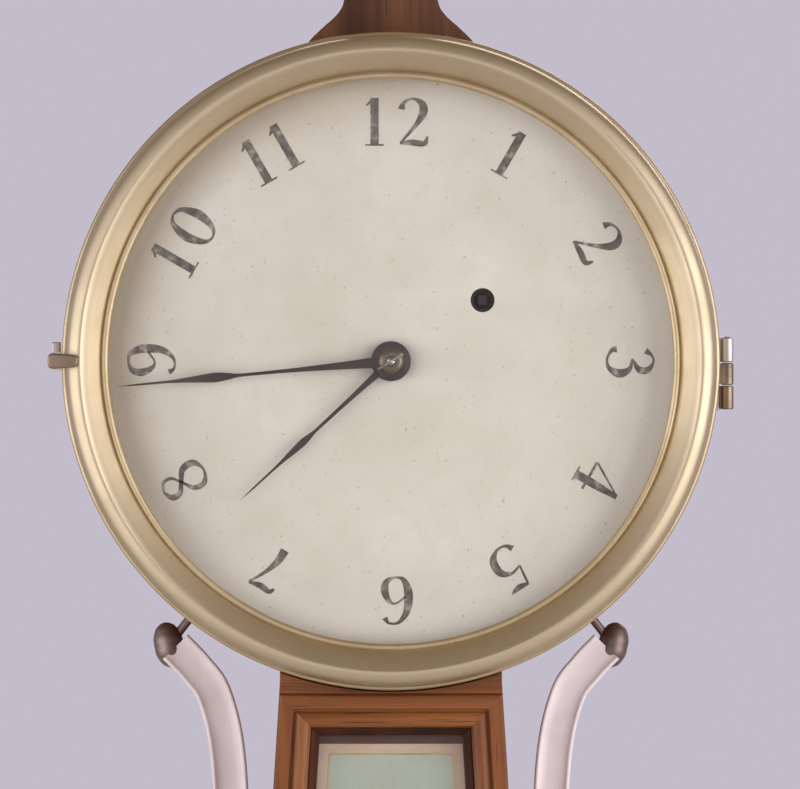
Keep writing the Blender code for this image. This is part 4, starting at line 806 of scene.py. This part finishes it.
def make_hands():
    """Both hands at the photographed time, and the domed collet with its taper pin."""
    make_hand("minute_hand", "centre", 264.7, 100.5, 6.2, 1.8, [(1.9, 6), (1.35, 18), (0.75, 36), (0.6, 54),
        (1.2, 59), (1.75, 64), (1.3, 70), (0.55, 80), (0.35, 92)])
    make_hand("hour_hand", "hour", 227.3, 75.0, 7.3, 2.7, [(1.3, 7), (0.85, 18), (0.6, 34), (0.65, 38),
        (1.3, 43), (1.1, 48), (0.5, 56), (0.35, 68)])
    collet = Span("hand_collet")
    rear, front = collet.depth
    bore, flat, outer = 1.8, 2.6, collet.x[1]
    profile = [(bore, front), (flat, front), *arc((flat, rear), front - rear, 90, 25, 6), (outer, rear + 0.3),
        (outer, rear), (bore, rear)]
    dome = turned("collet_domed", profile, COLLET_BRONZE, closed=True, steps=48)
    rides(dome, "centre", "blued_steel", "hand_collet")
    shape = bmesh.new()
    loft(shape, [[place_at(x, front - 0.1 + a, b) for a, b in circle(radius, steps=12)]
        for x, radius in ((-5.6, 0.42), (5.2, 0.75))])
    pin = piece_from("hand_taper_pin", shape, STEEL)
    pin.data.transform(Matrix.Rotation(radians(-32), 4, "Y"))
    rides(pin, "centre", "steel")


# ---------------------------------------------------------------- bezel, catch, glass and hinges
def make_bezel():
    """Moulded brass ring: a bead at the glass, a long slope up to the ridge, and a rolled rim."""
    rear, ridge = BEZEL.depth
    inner = 102.5
    bead = arc((inner + 1.3, -6.2), 1.3, 180, 20)
    slope = flowing([(105.2, -6.2), (107.4, -4.4), (109.8, -2.3), (111.6, -0.65), (112.9, 0), (114.6, -0.45),
        (116.3, -1.5), (117.4, -3.0), (117.8, -4.8)])
    rim = [(118.0, -5.6), (118.1, -9.0), *arc((BEZEL_R - 1.2, -11.6), 1.2, 80, 0, 6)]
    back = [(BEZEL_R, rear + 0.4), (BEZEL_R - 0.4, rear), (106.0, rear), (106.0, 92.9), (inner, 94.2)]
    ring = turned("bezel_ring", shifted(bead + slope + rim, ridge) + back, BEZEL_BRASS, closed=True,
        steps=256)
    rides(ring, "bezel", "bezel_brass", "bezel")


def make_catch():
    """Thumb catch on a lug of the bezel: a button, its spindle and collar, and the tongue."""
    catch = Span("bezel_catch")
    left, right = catch.x
    rear, front = catch.depth
    x = left + 2.4
    outline = rounded([(-118.0, -3.5), (-118.0, 3.5), (-124.4, 3.5), (-124.4, -3.5)], 2.6, 6)
    outlines, lug_depth = [outline, circle(1.5, (x, 0), 24)], (BEZEL.depth[0] + 0.4, 90)
    # The lug's pale brass carries a painted lilac reflection.
    lug = slab("bezel_catch_lug", outlines, lug_depth, LILAC_REFLECTION_BRASS, 0.4)
    rides(lug, "bezel", "bezel_brass")
    button_rear = front - 2.2
    grip = rounded([(left, -3.0), (right, -2.2), (right, 2.2), (left, 3.0)], 2.2, 6)
    collar = [(1.2, 93.6), (2.6, 93.2), (2.6, 91.0), (1.2, 90.6)]
    parts = [
        slab("catch_button", [grip], (button_rear, front), BRONZE, 0.7, 3),
        rod("catch_spindle", 1.2, rear, button_rear + 0.5, BRONZE, (x, 0)),
        turned("catch_collar", collar, BRONZE, (x, 0), closed=True, steps=32)]
    half = 1.6
    tongue = block("catch_tongue", (x - half, x + half), (rear, rear + 2.6), (-half, catch.z[1]),
        GREY_BRASS, 0.4)
    rides(joined("catch_turnbutton", parts), "catch", "dark_bronze", "bezel_catch")
    rides(tongue, "catch", "dark_bronze")


def make_glass():
    """Domed glass: a shallow cap of a sphere, and the same behind it."""
    glass = Span("dial_glass")
    edge_r, thickness, sag = glass.x[1], 2.0, 7.0
    sphere_r = (edge_r ** 2 + sag ** 2) / (2 * sag)
    centre = glass.depth[0] + thickness + sag - sphere_r
    radii = [edge_r * sin(pi / 2 * i / 24) for i in range(25)]
    front = [(radius, centre + sqrt(sphere_r ** 2 - radius ** 2)) for radius in radii]
    rear = [(radius, depth - thickness) for radius, depth in reversed(front)]
    rides(turned("glass_dome", front + rear, CLEAR, steps=160), "bezel", "clear_glass", "dial_glass")


def knuckle(name, axis, z, web_x, web_depth, shy, material, bevel=0.2):
    """A rolled knuckle round an upright axis at (x, depth), with the web that joins it to its leaf."""
    (low, high), radius, soft = z, 2.2, 0.35
    profile = [(0, low), (radius - soft, low), (radius, low + soft), (radius, high - soft),
        (radius - soft, high), (0, high)]
    barrel = turned(f"{name}_barrel", profile, material, (axis[0], -axis[1]), True, steps=32)
    web = block(f"{name}_web", (web_x, axis[0]), web_depth, (low + shy, high - shy), material, bevel)
    return [barrel, web]


def make_bezel_hinge():
    """Case leaf with its knuckle and pin, one knuckle below, and the bezel's own between them."""
    axis, leaf_x, web_x, web_depth = (122.3, 84.5), (118.0, 119.4), 118.4, (81.9, 83.4)
    leaf = block("bezel_leaf", leaf_x, (Span("bezel_hinge").depth[0], 83.7), (-18, 9), GREY_BRASS, 0.35)
    upper = knuckle("bezel_leaf", axis, (-0.3, 8.5), web_x, web_depth, 0.1, GREY_BRASS)
    pin_end = turned("bezel_pin", [(0, 9.2), (0.9, 9.0), (1.3, 8.4), (1.3, 8.3), (0, 8.3)], GREY_BRASS,
        (axis[0], -axis[1]), True, steps=24)
    rides(joined("bezel_hinge_leaf", [leaf, *upper, pin_end]), "case", "brass", "bezel_hinge")
    lower = knuckle("bezel_leaf_lower", axis, (-17.5, -8.9), web_x, web_depth, 0.1, BRONZE)
    rides(joined("bezel_hinge_lower_knuckle", lower), "case", "brass")
    places = [(leaf_x[1], -depth, z) for depth, z in ((68, -13), (68, 4), (76, -4.5))]
    screws("bezel_hinge_screws", places, (1, 0, 0), 1.9, "case")
    arm = knuckle("bezel_arm", axis, (-8.6, -0.6), 117.0, (84.9, 86.5), 0.3, BRONZE, 0.25)
    rides(joined("bezel_hinge_arm_rolled", arm), "bezel", "bezel_brass")


def make_door_hinges():
    """The two hinges of the box door: a case leaf with two knuckles, and a door leaf with one."""
    axis, face = (130.9, 90.15), DOOR.x[1] + GAP
    leaf_x = (face, face + 1.2)
    for place in ("upper", "lower"):
        case_leaf = Span(f"door_hinge_{place}_case_leaf")
        middle = case_leaf.middle()[1]
        leaves = (
            ("case", (case_leaf.depth[0], 89.5), (88.3, 89.6), 0.2, ((5.5, 15.5), (-15.5, -5.5)),
                ((75, -11), (75, 11), (83, 0)), 2.0),
            ("door", (90.9, 101), (90.6, 91.9), 0.3, ((-5.2, 5.2),), ((96.5, -11), (96.5, 11)), 1.9))
        for body, plate_depth, web_depth, shy, knuckles, holes, screw_r in leaves:
            name = f"door_hinge_{place}_{body}"
            plate_z = (middle - 16, middle + 16)
            parts = [block(f"{name}_plate", leaf_x, plate_depth, plate_z, BRASS_FLAT, 0.35)]
            for low, high in knuckles:
                z = (middle + low, middle + high)
                parts += knuckle(name, axis, z, face + 0.2, web_depth, shy, BRASS_FLAT)
            rides(joined(name, parts), body, "brass", f"{name}_leaf")
            places = [(leaf_x[1], -depth, middle + z) for depth, z in holes]
            screws(f"{name}_screws", places, (1, 0, 0), screw_r, body)


# ---------------------------------------------------------------- painted tablets
def painted(name, body, outlines, depth, material, bevel=0.01):
    """A thin coat of paint between outlines."""
    rides(slab(name, outlines, depth, material, bevel, 0), body, "painted_glass")


def make_tablet(name, body, rear, front, edge, layers):
    """Glass painted on its back. A layer's depths are counted from the back of the tablet."""
    pane = slab(f"{name}_pane", [edge], (rear + 0.9, front), CLEAR, 0.15)
    rides(pane, body, "painted_glass", f"{name}_tablet")
    for layer, outlines, low, high, material, bevel in layers:
        painted(f"{name}_{layer}", body, outlines, (rear + low, rear + high), material, bevel)


def leaf_spray(name, body, places, rear, length, width):
    """Small pointed gilt leaves lying flat at (x, z, direction) places, at three heights a hair apart."""
    shape = bmesh.new()
    along = [i / 7 for i in range(7)]
    rim = [(t * length, width / 2 * sin(pi * t ** 0.8)) for t in along]
    rim += [((1 - t) * length, -width / 2 * sin(pi * (1 - t) ** 0.8)) for t in along]
    for number, (x, z, way) in enumerate(places):
        points = [(x + u * cos(way) - v * sin(way), z + u * sin(way) + v * cos(way)) for u, v in rim]
        depths = (rear + 0.3, rear + 0.6 + 0.01 * (number % 3))
        loft(shape, [[place_at(x_there, depth, z_there) for x_there, z_there in points] for depth in depths])
    rides(object_from(name, shape, GILT_PAINT), body, "painted_glass")


# ---------------------------------------------------------------- throat
def throat_half(z):
    """Half the outside width of the throat, which widens steadily from its top to the box."""
    bottom, top = THROAT_FRAME.z
    half_at_rim, rim_z, flare = 40.5, -118, 0.062
    narrow = half_at_rim + flare * (rim_z - top)
    return narrow + (THROAT_FRAME.x[1] - narrow) * (top - z) / (top - bottom)


def tapered(half, low, high):
    """Four corners between two heights, where half gives half the width at a height."""
    return [(-half(low), low), (half(low), low), (half(high), high), (-half(high), high)]


def moulding(width, front, seat, rebate):
    """Section of a frame member: flat outer edge, a quirk, a bead, and a slope down to the glass."""
    bead_r, bead_at = 0.185 * width, 0.62 * width
    bead_end = bead_at + bead_r
    face = [(0, -1.6), (0.35, -1.1), (0.9, -0.8), (0.36 * width, -0.8), (0.38 * width, -2.2),
        (bead_at - bead_r - 0.1, -2.2), *arc((bead_at, -2.2), bead_r, 180, 0, 10, 2.2),
        (bead_end + 0.1, -2.4), (bead_end + 0.5, -5.4), (width, -7.0)]
    back = [(width, rebate), (width - 4, rebate), (width - 4, seat), (0, seat)]
    return [(across / width, depth) for across, depth in shifted(face, front) + back]


def make_throat():
    """Throat frame with a near-black slip round its opening that paints the shade in the recess, the crest
    under the head and the foot on the box.
    """
    rear, front = THROAT_FRAME.depth
    pane = Span("throat_tablet")
    lap, stile = 4, 15.0
    opening = tapered(lambda z: throat_half(z) - stile, pane.z[0] + lap, pane.z[1] - lap)
    low, high = pane.z[0] + lap - stile, pane.z[1] - lap + stile
    framed("throat_rail", tapered(throat_half, low, high), opening, moulding(stile, front, rear, 71.5),
        "case", (WOOD_X, WOOD_Z), "throat_frame")
    # The slip's near-black finish is painted shade in the recess between frame and glass.
    slip_width = 3.1 - GAP
    slip = [(0, -3.4), (0.25, -3.2), (1, -6.9), (1, -7.5), (0, -7.5)]
    framed("throat_slip", inset(opening, -slip_width), inset(opening, 0.2), shifted(slip, front), "case",
        (SHADE_DARK_WOOD, SHADE_DARK_WOOD))
    outline = tapered(throat_half, high + 0.1, THROAT_FRAME.z[1])
    crest = slab("throat_crest", [outline], (rear, front - 0.8), WOOD_X)
    head_seat = rod("head_seat", BEZEL_R + 0.8, 0, 120, WOOD_X, steps=256)
    rides(cut(crest, head_seat), "case", "mahogany")
    foot = block("throat_foot", (-throat_half(low), throat_half(low)), (rear, front + 0.4),
        (BOX_TOP.z[1] + GAP, low - 0.05), WOOD_X)
    rides(foot, "case", "mahogany")
    dress(WOOD_Z, 0.6, "throat_side_left", "throat_side_right")
    dress(TIN, 0.0, "weight_baffle")
    make_throat_tablet(opening, *pane.depth)


def make_throat_tablet(opening, rear, front):
    """A cream border with dark and gilt lines round a pale green field with a spray of leaves. The dark edge
    line is widened at the top as a painted shadow under the top rail.
    """
    edge = inset(opening, -4)
    # The paint starts 3 mm lower at the top, leaving a wider dark band there: a painted shadow under the
    # rail.
    painted_shadow_at_top = 3
    shown = opening[:2] + [(x, z - painted_shadow_at_top) for x, z in opening[2:]]
    make_tablet("throat", "case", rear, front, edge, (
        ("field", [inset(shown, 3.6)], 0.1, 0.45, AQUA_PAINT, 0.02),
        ("border", [inset(shown, 0.3), inset(shown, 4.2)], 0.1, 0.55, CREAM_PAINT, 0.01),
        ("line", [inset(shown, 4.0), inset(shown, 4.5)], 0.3, 0.65, GILT_PAINT, 0.01),
        ("edge_line", [edge, inset(shown, 0.5)], 0.2, 0.6, BROWN_PAINT, 0.01)))
    top, bottom = opening[2][1] - 34, opening[0][1] + 20
    count = 15
    step = (top - bottom) / count
    leaves = [(side * 1.2, bottom + step * i, pi / 2 - side * radians(52)) for i in range(count)
        for side in (1, -1)]
    leaf_spray("throat_leaves", "case", leaves, rear, 12.5, 4.4)
    stem = rounded([(-0.6, bottom - 8), (0.6, bottom - 8), (0.3, top + 8), (-0.3, top + 8)], 0.4, 2)
    painted("throat_stem", "case", [stem], (rear + 0.3, rear + 0.58), BROWN_PAINT, 0.02)


# ---------------------------------------------------------------- box and door
def make_box():
    """Finishes of the box, the back and the hanger plate, and the hanger's screws."""
    dress(WOOD_X, 1.0, "box_top", "box_bottom")
    dress(WOOD_Z, 1.0, "box_side_left", "box_side_right")
    dress(PINE, 0.6, "backboard")
    dress(STEEL, 0.3, "hanger_plate")
    plate = Span("hanger_plate")
    margin = 4
    places = [(x, -(plate.depth[0] + 0.45), z) for x in (plate.x[0] + margin, plate.x[1] - margin)
        for z in (plate.z[0] + margin, plate.z[1] - margin)]
    screws("hanger_screws", places, (0, 1, 0), 1.45, "case")


def make_door():
    """Door frame with a cock bead, a flat, a bead and an ogee down to the painted glass."""
    rear, front = DOOR.depth
    width = 27.0
    (left, right), (bottom, top) = DOOR.x, DOOR.z
    outer = [(left, bottom), (right, bottom), (right, top), (left, top)]
    opening = inset(outer, width)
    ogee = flowing([(19.0, -1.4), (21.0, -1.7), (22.8, -3.4), (24.6, -5.2), (26.4, -5.8)], 4)
    face = [(0, -2.4), *arc((1.4, -1.6), 1.4, 180, 0, 9), (3.1, -2.2), (3.4, -1.2), (16.4, -1.2),
        (16.8, -2.4), *arc((17.9, -2.4), 0.9, 180, 0, 9, 1.6), *ogee, (width, -6.2)]
    back = [(width, rear + 4.2), (width - 5.3, rear + 4.2), (width - 5.3, rear), (0, rear)]
    section = [(across / width, depth) for across, depth in shifted(face, front) + back]
    framed("door_rail", outer, opening, section, "door", (WOOD_X, WOOD_Z), "door_frame")
    make_door_tablet(opening, *Span("door_tablet").depth)


def make_latch():
    """Turned knob through the door, with its tongue behind."""
    latch = Span("door_latch")
    (rear, tip), seat = latch.depth, DOOR.depth[1] + GAP
    x, z = latch.middle()[0], -530
    ball = flowing([(2.4, -0.15), (4.8, -1.2), (6.0, -3.5), (5.0, -5.9), (2.7, -7.4)])
    foot = rounded([(2.6, tip - 8.4), (5.2, seat + 1.2), (5.2, seat), (2.1, seat)], 0.6, 3, False)
    profile = [(0, tip), *shifted(ball, tip), *foot, (2.1, rear), (0, rear)]
    knob = turned("latch_knob", profile, BRASS_FLAT, (x, z), steps=64)
    tongue = block("latch_tongue", (x - 2.5, x + 2.5), (80.5, 84.5), (z - 3, z + 9.2), BRASS_FLAT, 0.5)
    rides(joined("door_latch_knob", [knob, tongue]), "latch", "brass", "door_latch")


def make_door_tablet(opening, rear, front):
    """Left clear in an oval so that the pendulum bob can be seen, with a wreath and corner rosettes."""
    centre_z = BOB.middle()[1]
    edge = inset(opening, -4.6)
    across, up = 50, 40
    oval = circle(across, (0, centre_z), up=up)
    make_tablet("door", "door", rear, front, edge, (
        ("field", [inset(opening, 5.5), oval], 0.1, 0.45, AQUA_PAINT, 0.02),
        ("border", [edge, inset(opening, 6.0)], 0.1, 0.55, CREAM_PAINT, 0.01),
        ("line", [inset(opening, 5.7), inset(opening, 6.7)], 0.3, 0.65, GILT_PAINT, 0.01),
        ("edge_line", [inset(opening, 1.4), inset(opening, 2.0)], 0.3, 0.6, BROWN_PAINT, 0.01),
        ("oval_line", [circle(across + 2.2, (0, centre_z), up=up + 2.2), oval], 0.3, 0.65, GILT_PAINT, 0.01)))
    leaves = []
    count, wreath_across, wreath_up = 44, across + 7, up + 7
    for i in range(count):
        angle = 2 * pi * (i + 0.5) / count
        x, z = wreath_across * cos(angle), wreath_up * sin(angle)
        rise = 1 if cos(angle) > 0 else -1
        tangent = atan2(wreath_up * cos(angle) * rise, -wreath_across * sin(angle) * rise)
        leaves += [(x, centre_z + z, tangent + side * radians(34)) for side in (-1, 1)]
    margin = 19
    corner_x, corner_z = opening[1][0] - margin, (opening[2][1] - opening[1][1]) / 2 - margin
    for side, level in ((-1, -1), (-1, 1), (1, -1), (1, 1)):
        place = (side * corner_x, centre_z + level * corner_z - 8)
        leaves += [(*place, 2 * pi * petal / 8 + 0.2) for petal in range(8)]
    leaf_spray("door_wreath", "door", leaves, rear, 7.6, 2.7)


# ---------------------------------------------------------------- sidearms
SIDEARM_ROUTE = ((79.0, -104.6), (71.5, -112.5), (64.6, -122.7), (59.6, -146), (58.0, -190),
    (59.3, -240), (62.8, -300), (69.5, -350), (80.0, -393), (95.0, -427))


def make_sidearms():
    """Curved brass straps beside the throat with a bead along each edge, a foot, and a dark turned knob; the
    pale brass carries a painted lilac reflection.
    """
    rear, front = 34.0, 46.0
    half, bead, foot_z = 6.5, 0.9, BOX_TOP.z[1]
    face = [(u, front - 1.3 + 0.5 * (u / 4.4) ** 2) for u in (-4.4, -2.2, 0.0, 2.2, 4.4)]
    right = [*arc((half - bead, front - bead), bead, 150, -90), (half - 1.2, front - 3),
        (half - 1.2, rear + 1), (half - 2, rear)]
    section = face + right + mirrored(right)
    path = flowing(SIDEARM_ROUTE, 8)
    dome = flowing([(1.6, 8.1), (3.6, 6.6), (5.2, 3.2), (5.4, 0), (5.2, -3.2), (3.6, -6.6), (1.6, -8.1)], 5)
    knob_x, knob_z, knob_tilt = 81.5, -104.0, radians(12)
    reach, lean = hypot(knob_x, knob_z) - HEAD_R - 2 * GAP, atan2(knob_x, -knob_z)
    middle = (rear + front) / 2
    for name, side in (("sidearm_right", 1), ("sidearm_left", -1)):
        strap = swept(f"{name}_strap", [(side * x, z) for x, z in path], section, LILAC_REFLECTION_BRASS)
        foot = block(f"{name}_foot", sorted((side * 86, side * 108)), (rear - 2, front + 2),
            (foot_z + GAP, foot_z + 4.6), LILAC_REFLECTION_BRASS, 0.9)
        rides(joined(f"{name}_arm", [strap, foot]), "case", "pale_brass", name)
        screws(f"{name}_screw", [(side * 103.5, -middle, foot_z + 4.6)], (0, 0, 1), 1.9, "case")
        knob = turned(f"{name}_knob", [(0, 8.5), *dome, (0, -8.5)], DARK_KNOB, upright=True, steps=48)
        pin = rod(f"{name}_pin", 1.6, 0, reach, DARK_KNOB, upright=True, steps=24)
        knob.data.transform(Matrix.Rotation(side * knob_tilt, 4, "Y"))
        pin.data.transform(Matrix.Rotation(-side * lean, 4, "Y"))
        end = joined(f"{name}_end", [knob, pin])
        end.data.transform(Matrix.Translation(place_at(side * knob_x, middle, knob_z) * MM))
        rides(end, "case", "pale_brass")


# ---------------------------------------------------------------- movement, pendulum and weight
def make_movement():
    """Finishes of the brass and steel works, whose CAD shapes stand as they are."""
    dress(BRASS_FLAT, 0.15, "back_plate", "front_plate", "great_wheel", "centre_wheel", "third_wheel",
        "escape_wheel", "minute_wheel", "hour_wheel", "barrel", "suspension_bridge", "pendulum_rod",
        "pillar_1", "pillar_2", "pillar_3", "pillar_4")
    dress(DARK_STEEL, 0.1, "winding_arbor")
    dress(STEEL, 0.1, "centre_arbor", "third_arbor", "cannon_pinion", "anchor", "crutch", "click",
        "click_spring")
    dress(STEEL, 0.0, "suspension_spring")


def make_bob():
    """Brass lens with a slot through it for the rod."""
    x, z = BOB.middle()
    middle = BOB.middle_depth()
    half, radius = BOB.depth[1] - middle, BOB.x[1]
    lens = flowing([(4.0, half), (13.0, half - 1), (25.0, half - 3.8), (33.0, 3.4), (36.0, 1.7)])
    front = [(0, half), *lens, *arc((radius - 1, 0), 1.0, 60, 0, 4)]
    profile = front + [(r, -rise) for r, rise in reversed(front[:-1])]
    bob = turned("bob_lens", shifted(profile, middle), BRASS_BOB, (x, z), steps=128)
    slot = block("bob_slot", (-2.8, 2.8), (middle - 1.8, middle + 1.8), (z - 45, z + 45), BRASS_BOB, 0.05)
    rides(cut(bob, slot), "bob", "brass", "pendulum_bob")


def make_nut():
    """Rating nut below the bob, with fine ribs between its two plain edges."""
    nut = Span("rating_nut")
    low, high = nut.z
    depth_of_rib = 0.02
    bore, outer = 1.8, nut.x[1] / (1 + depth_of_rib)

    def ribs(height, angle):
        if low + 1.4 < height < high - 1.4:
            return 1 + depth_of_rib * (1 if sin(40 * angle) > 0 else -1)
        return 1.0

    rim = rounded([(outer - 1.5, high), (outer, high - 1.5), (outer, low + 1.5), (outer - 1.5, low)], 0.5, 3)
    turned_nut = turned("nut_knurled", [(bore, high), *rim, (bore, low)], BRASS_FLAT,
        (0, -BOB.middle_depth()), True, True, 160, ribs)
    rides(turned_nut, "rating", "brass", "rating_nut")


def make_pulley(x, z, depth, groove):
    """Grooved wheel, whose groove is a shallow curve between two narrow rims."""
    rim, half = PULLEY.x[1] - x, 2.0
    curve = [(groove + 1.3 * (t / 4) ** 2, t / 4 * 1.6) for t in range(4, -5, -1)]
    profile = [(rim - 0.3, half), (rim, half - 0.3), *curve, (rim, 0.3 - half), (rim - 0.3, -half),
        (1.4, -half), (1.4, half)]
    wheel = turned("pulley_grooved", shifted(profile, depth), BRASS_PULLEY, (x, z), closed=True, steps=72)
    rides(wheel, "pulley", "brass", "pulley")


def make_weight():
    """Cast weight on its pulley, and the gut cord that carries it: two strands and the turn between them."""
    dress(IRON, 1.2, "weight")
    x, z = PULLEY.middle()
    depth = PULLEY.middle_depth()
    groove = PULLEY.x[1] - x - 1.4
    make_pulley(x, z, depth, groove)
    cord = Span("weight_cord")
    cord_r, post_z, strand_steps = 0.6, -38.2, 12
    wrap_r = groove + cord_r + GAP
    strands = (("barrel", cord.x[1] - cord_r, cord.z[1], ["weight_cord"]), ("post", x - wrap_r, post_z, []))
    for name, strand_x, top, nodes in strands:
        length = top - z
        side = [(cord_r, z + length * i / strand_steps) for i in range(strand_steps + 1)]
        strand = turned(f"cord_{name}_strand", [(0, z), *side, (0, top)], GUT, (strand_x, -depth), True,
            steps=16)
        rides(strand, "case", "gut_cord", *nodes)
        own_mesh(strand)
    shape = bmesh.new()
    rings = []
    for across, up in arc((0, 0), 1, 0, -180, 24):
        rings.append([place_at(x + across * (wrap_r + a), depth + b, z + up * (wrap_r + a))
            for a, b in circle(cord_r, steps=12)])
    loft(shape, rings)
    rides(piece_from("cord_pulley_wrap", shape, GUT), "weight", "gut_cord")


# ---------------------------------------------------------------- studio
def make_world():
    """Pale lilac-grey light from the level, and a dimmer warm one from above and below."""
    world = bpy.data.worlds.new("studio")
    bpy.context.scene.world = world
    world.use_nodes = True
    nodes, links = world.node_tree.nodes, world.node_tree.links
    background = nodes["Background"]
    background.inputs["Strength"].default_value = 1.0
    direction = nodes.new("ShaderNodeSeparateXYZ")
    links.new(nodes.new("ShaderNodeTexCoord").outputs["Generated"], direction.inputs[0])
    rise = nodes.new("ShaderNodeMath")
    rise.operation = "ABSOLUTE"
    links.new(direction.outputs["Z"], rise.inputs[0])
    shade = nodes.new("ShaderNodeValToRGB")
    links.new(rise.outputs[0], shade.inputs["Fac"])
    links.new(shade.outputs[0], background.inputs["Color"])
    stops = ((0.25, (0.546, 0.509, 0.597)), (0.62, (0.30, 0.235, 0.17)))
    for element, (position, colour) in zip(shade.color_ramp.elements, stops):
        element.position = position
        element.color = (*colour, 1.0)


def make_floor():
    """Round pale floor under the clock, which doesn't hide it from below."""
    finish = Finish("floor", Specular_IOR_Level=0.2)
    cloud = finish.cloud(2, 3.0)
    finish.give("Base Color", finish.ramp(cloud, (0.3, (0.79, 0.775, 0.77)), (0.7, (0.82, 0.805, 0.80))))
    finish.give("Roughness", 0.8)
    below = finish.add("NewGeometry").outputs["Backfacing"]
    finish.show(below, finish.shader, finish.add("BsdfTransparent"))
    shape = bmesh.new()
    bmesh.ops.create_circle(shape, cap_ends=True, segments=96, radius=3.0)
    floor = object_from("floor", shape, finish.material, 1.0)
    floor.location.z = CAD_LOW.z - 0.25


def make_studio():
    """Soft light mostly from the right, and a camera level with the head, as in the photograph."""
    scene = bpy.context.scene
    scene.view_settings.view_transform = "Standard"
    scene.view_settings.look = "None"
    target = Vector((3.3 * MM, 0.0, -12.1 * MM))
    warm = (1.0, 0.955, 0.90)
    lights = (
        ("key", (2.1, -1.6, 0.1), (2.1, 1.8), 48.5, warm),
        ("fill", (-2.1, -1.6, -0.3), (3.1, 1.8), 49.0, warm),
        ("rear", (0.6, 2.4, 1.2), (2.0, 1.5), 26.0, (1.0, 0.97, 0.93)))
    for name, place, size, power, colour in lights:
        light = bpy.data.lights.new(name, "AREA")
        light.shape = "RECTANGLE"
        light.size, light.size_y = size
        light.energy = power
        light.color = colour
        lamp = bpy.data.objects.new(name, light)
        lamp.location = place
        lamp.rotation_euler = (target - Vector(place)).to_track_quat("-Z", "Y").to_euler()
        scene.collection.objects.link(lamp)

    camera = bpy.data.cameras.new("camera")
    distance, shown_width = 4.5, 289.6 * MM
    camera.sensor_width = 36.0
    camera.lens = camera.sensor_width * (distance - BEZEL.depth[1] * MM) / shown_width
    view = bpy.data.objects.new("camera", camera)
    view.location = (target.x, -distance, target.z)
    view.rotation_euler = (radians(90), 0.0, 0.0)
    scene.collection.objects.link(view)
    scene.camera = view


make_world()
make_floor()
make_studio()
make_head()
make_plinth()
make_finial()
make_dial()
make_numerals()
make_hands()
make_bezel()
make_catch()
make_glass()
make_bezel_hinge()
make_door_hinges()
make_throat()
make_box()
make_door()
make_latch()
make_sidearms()
make_movement()
make_bob()
make_nut()
make_weight()
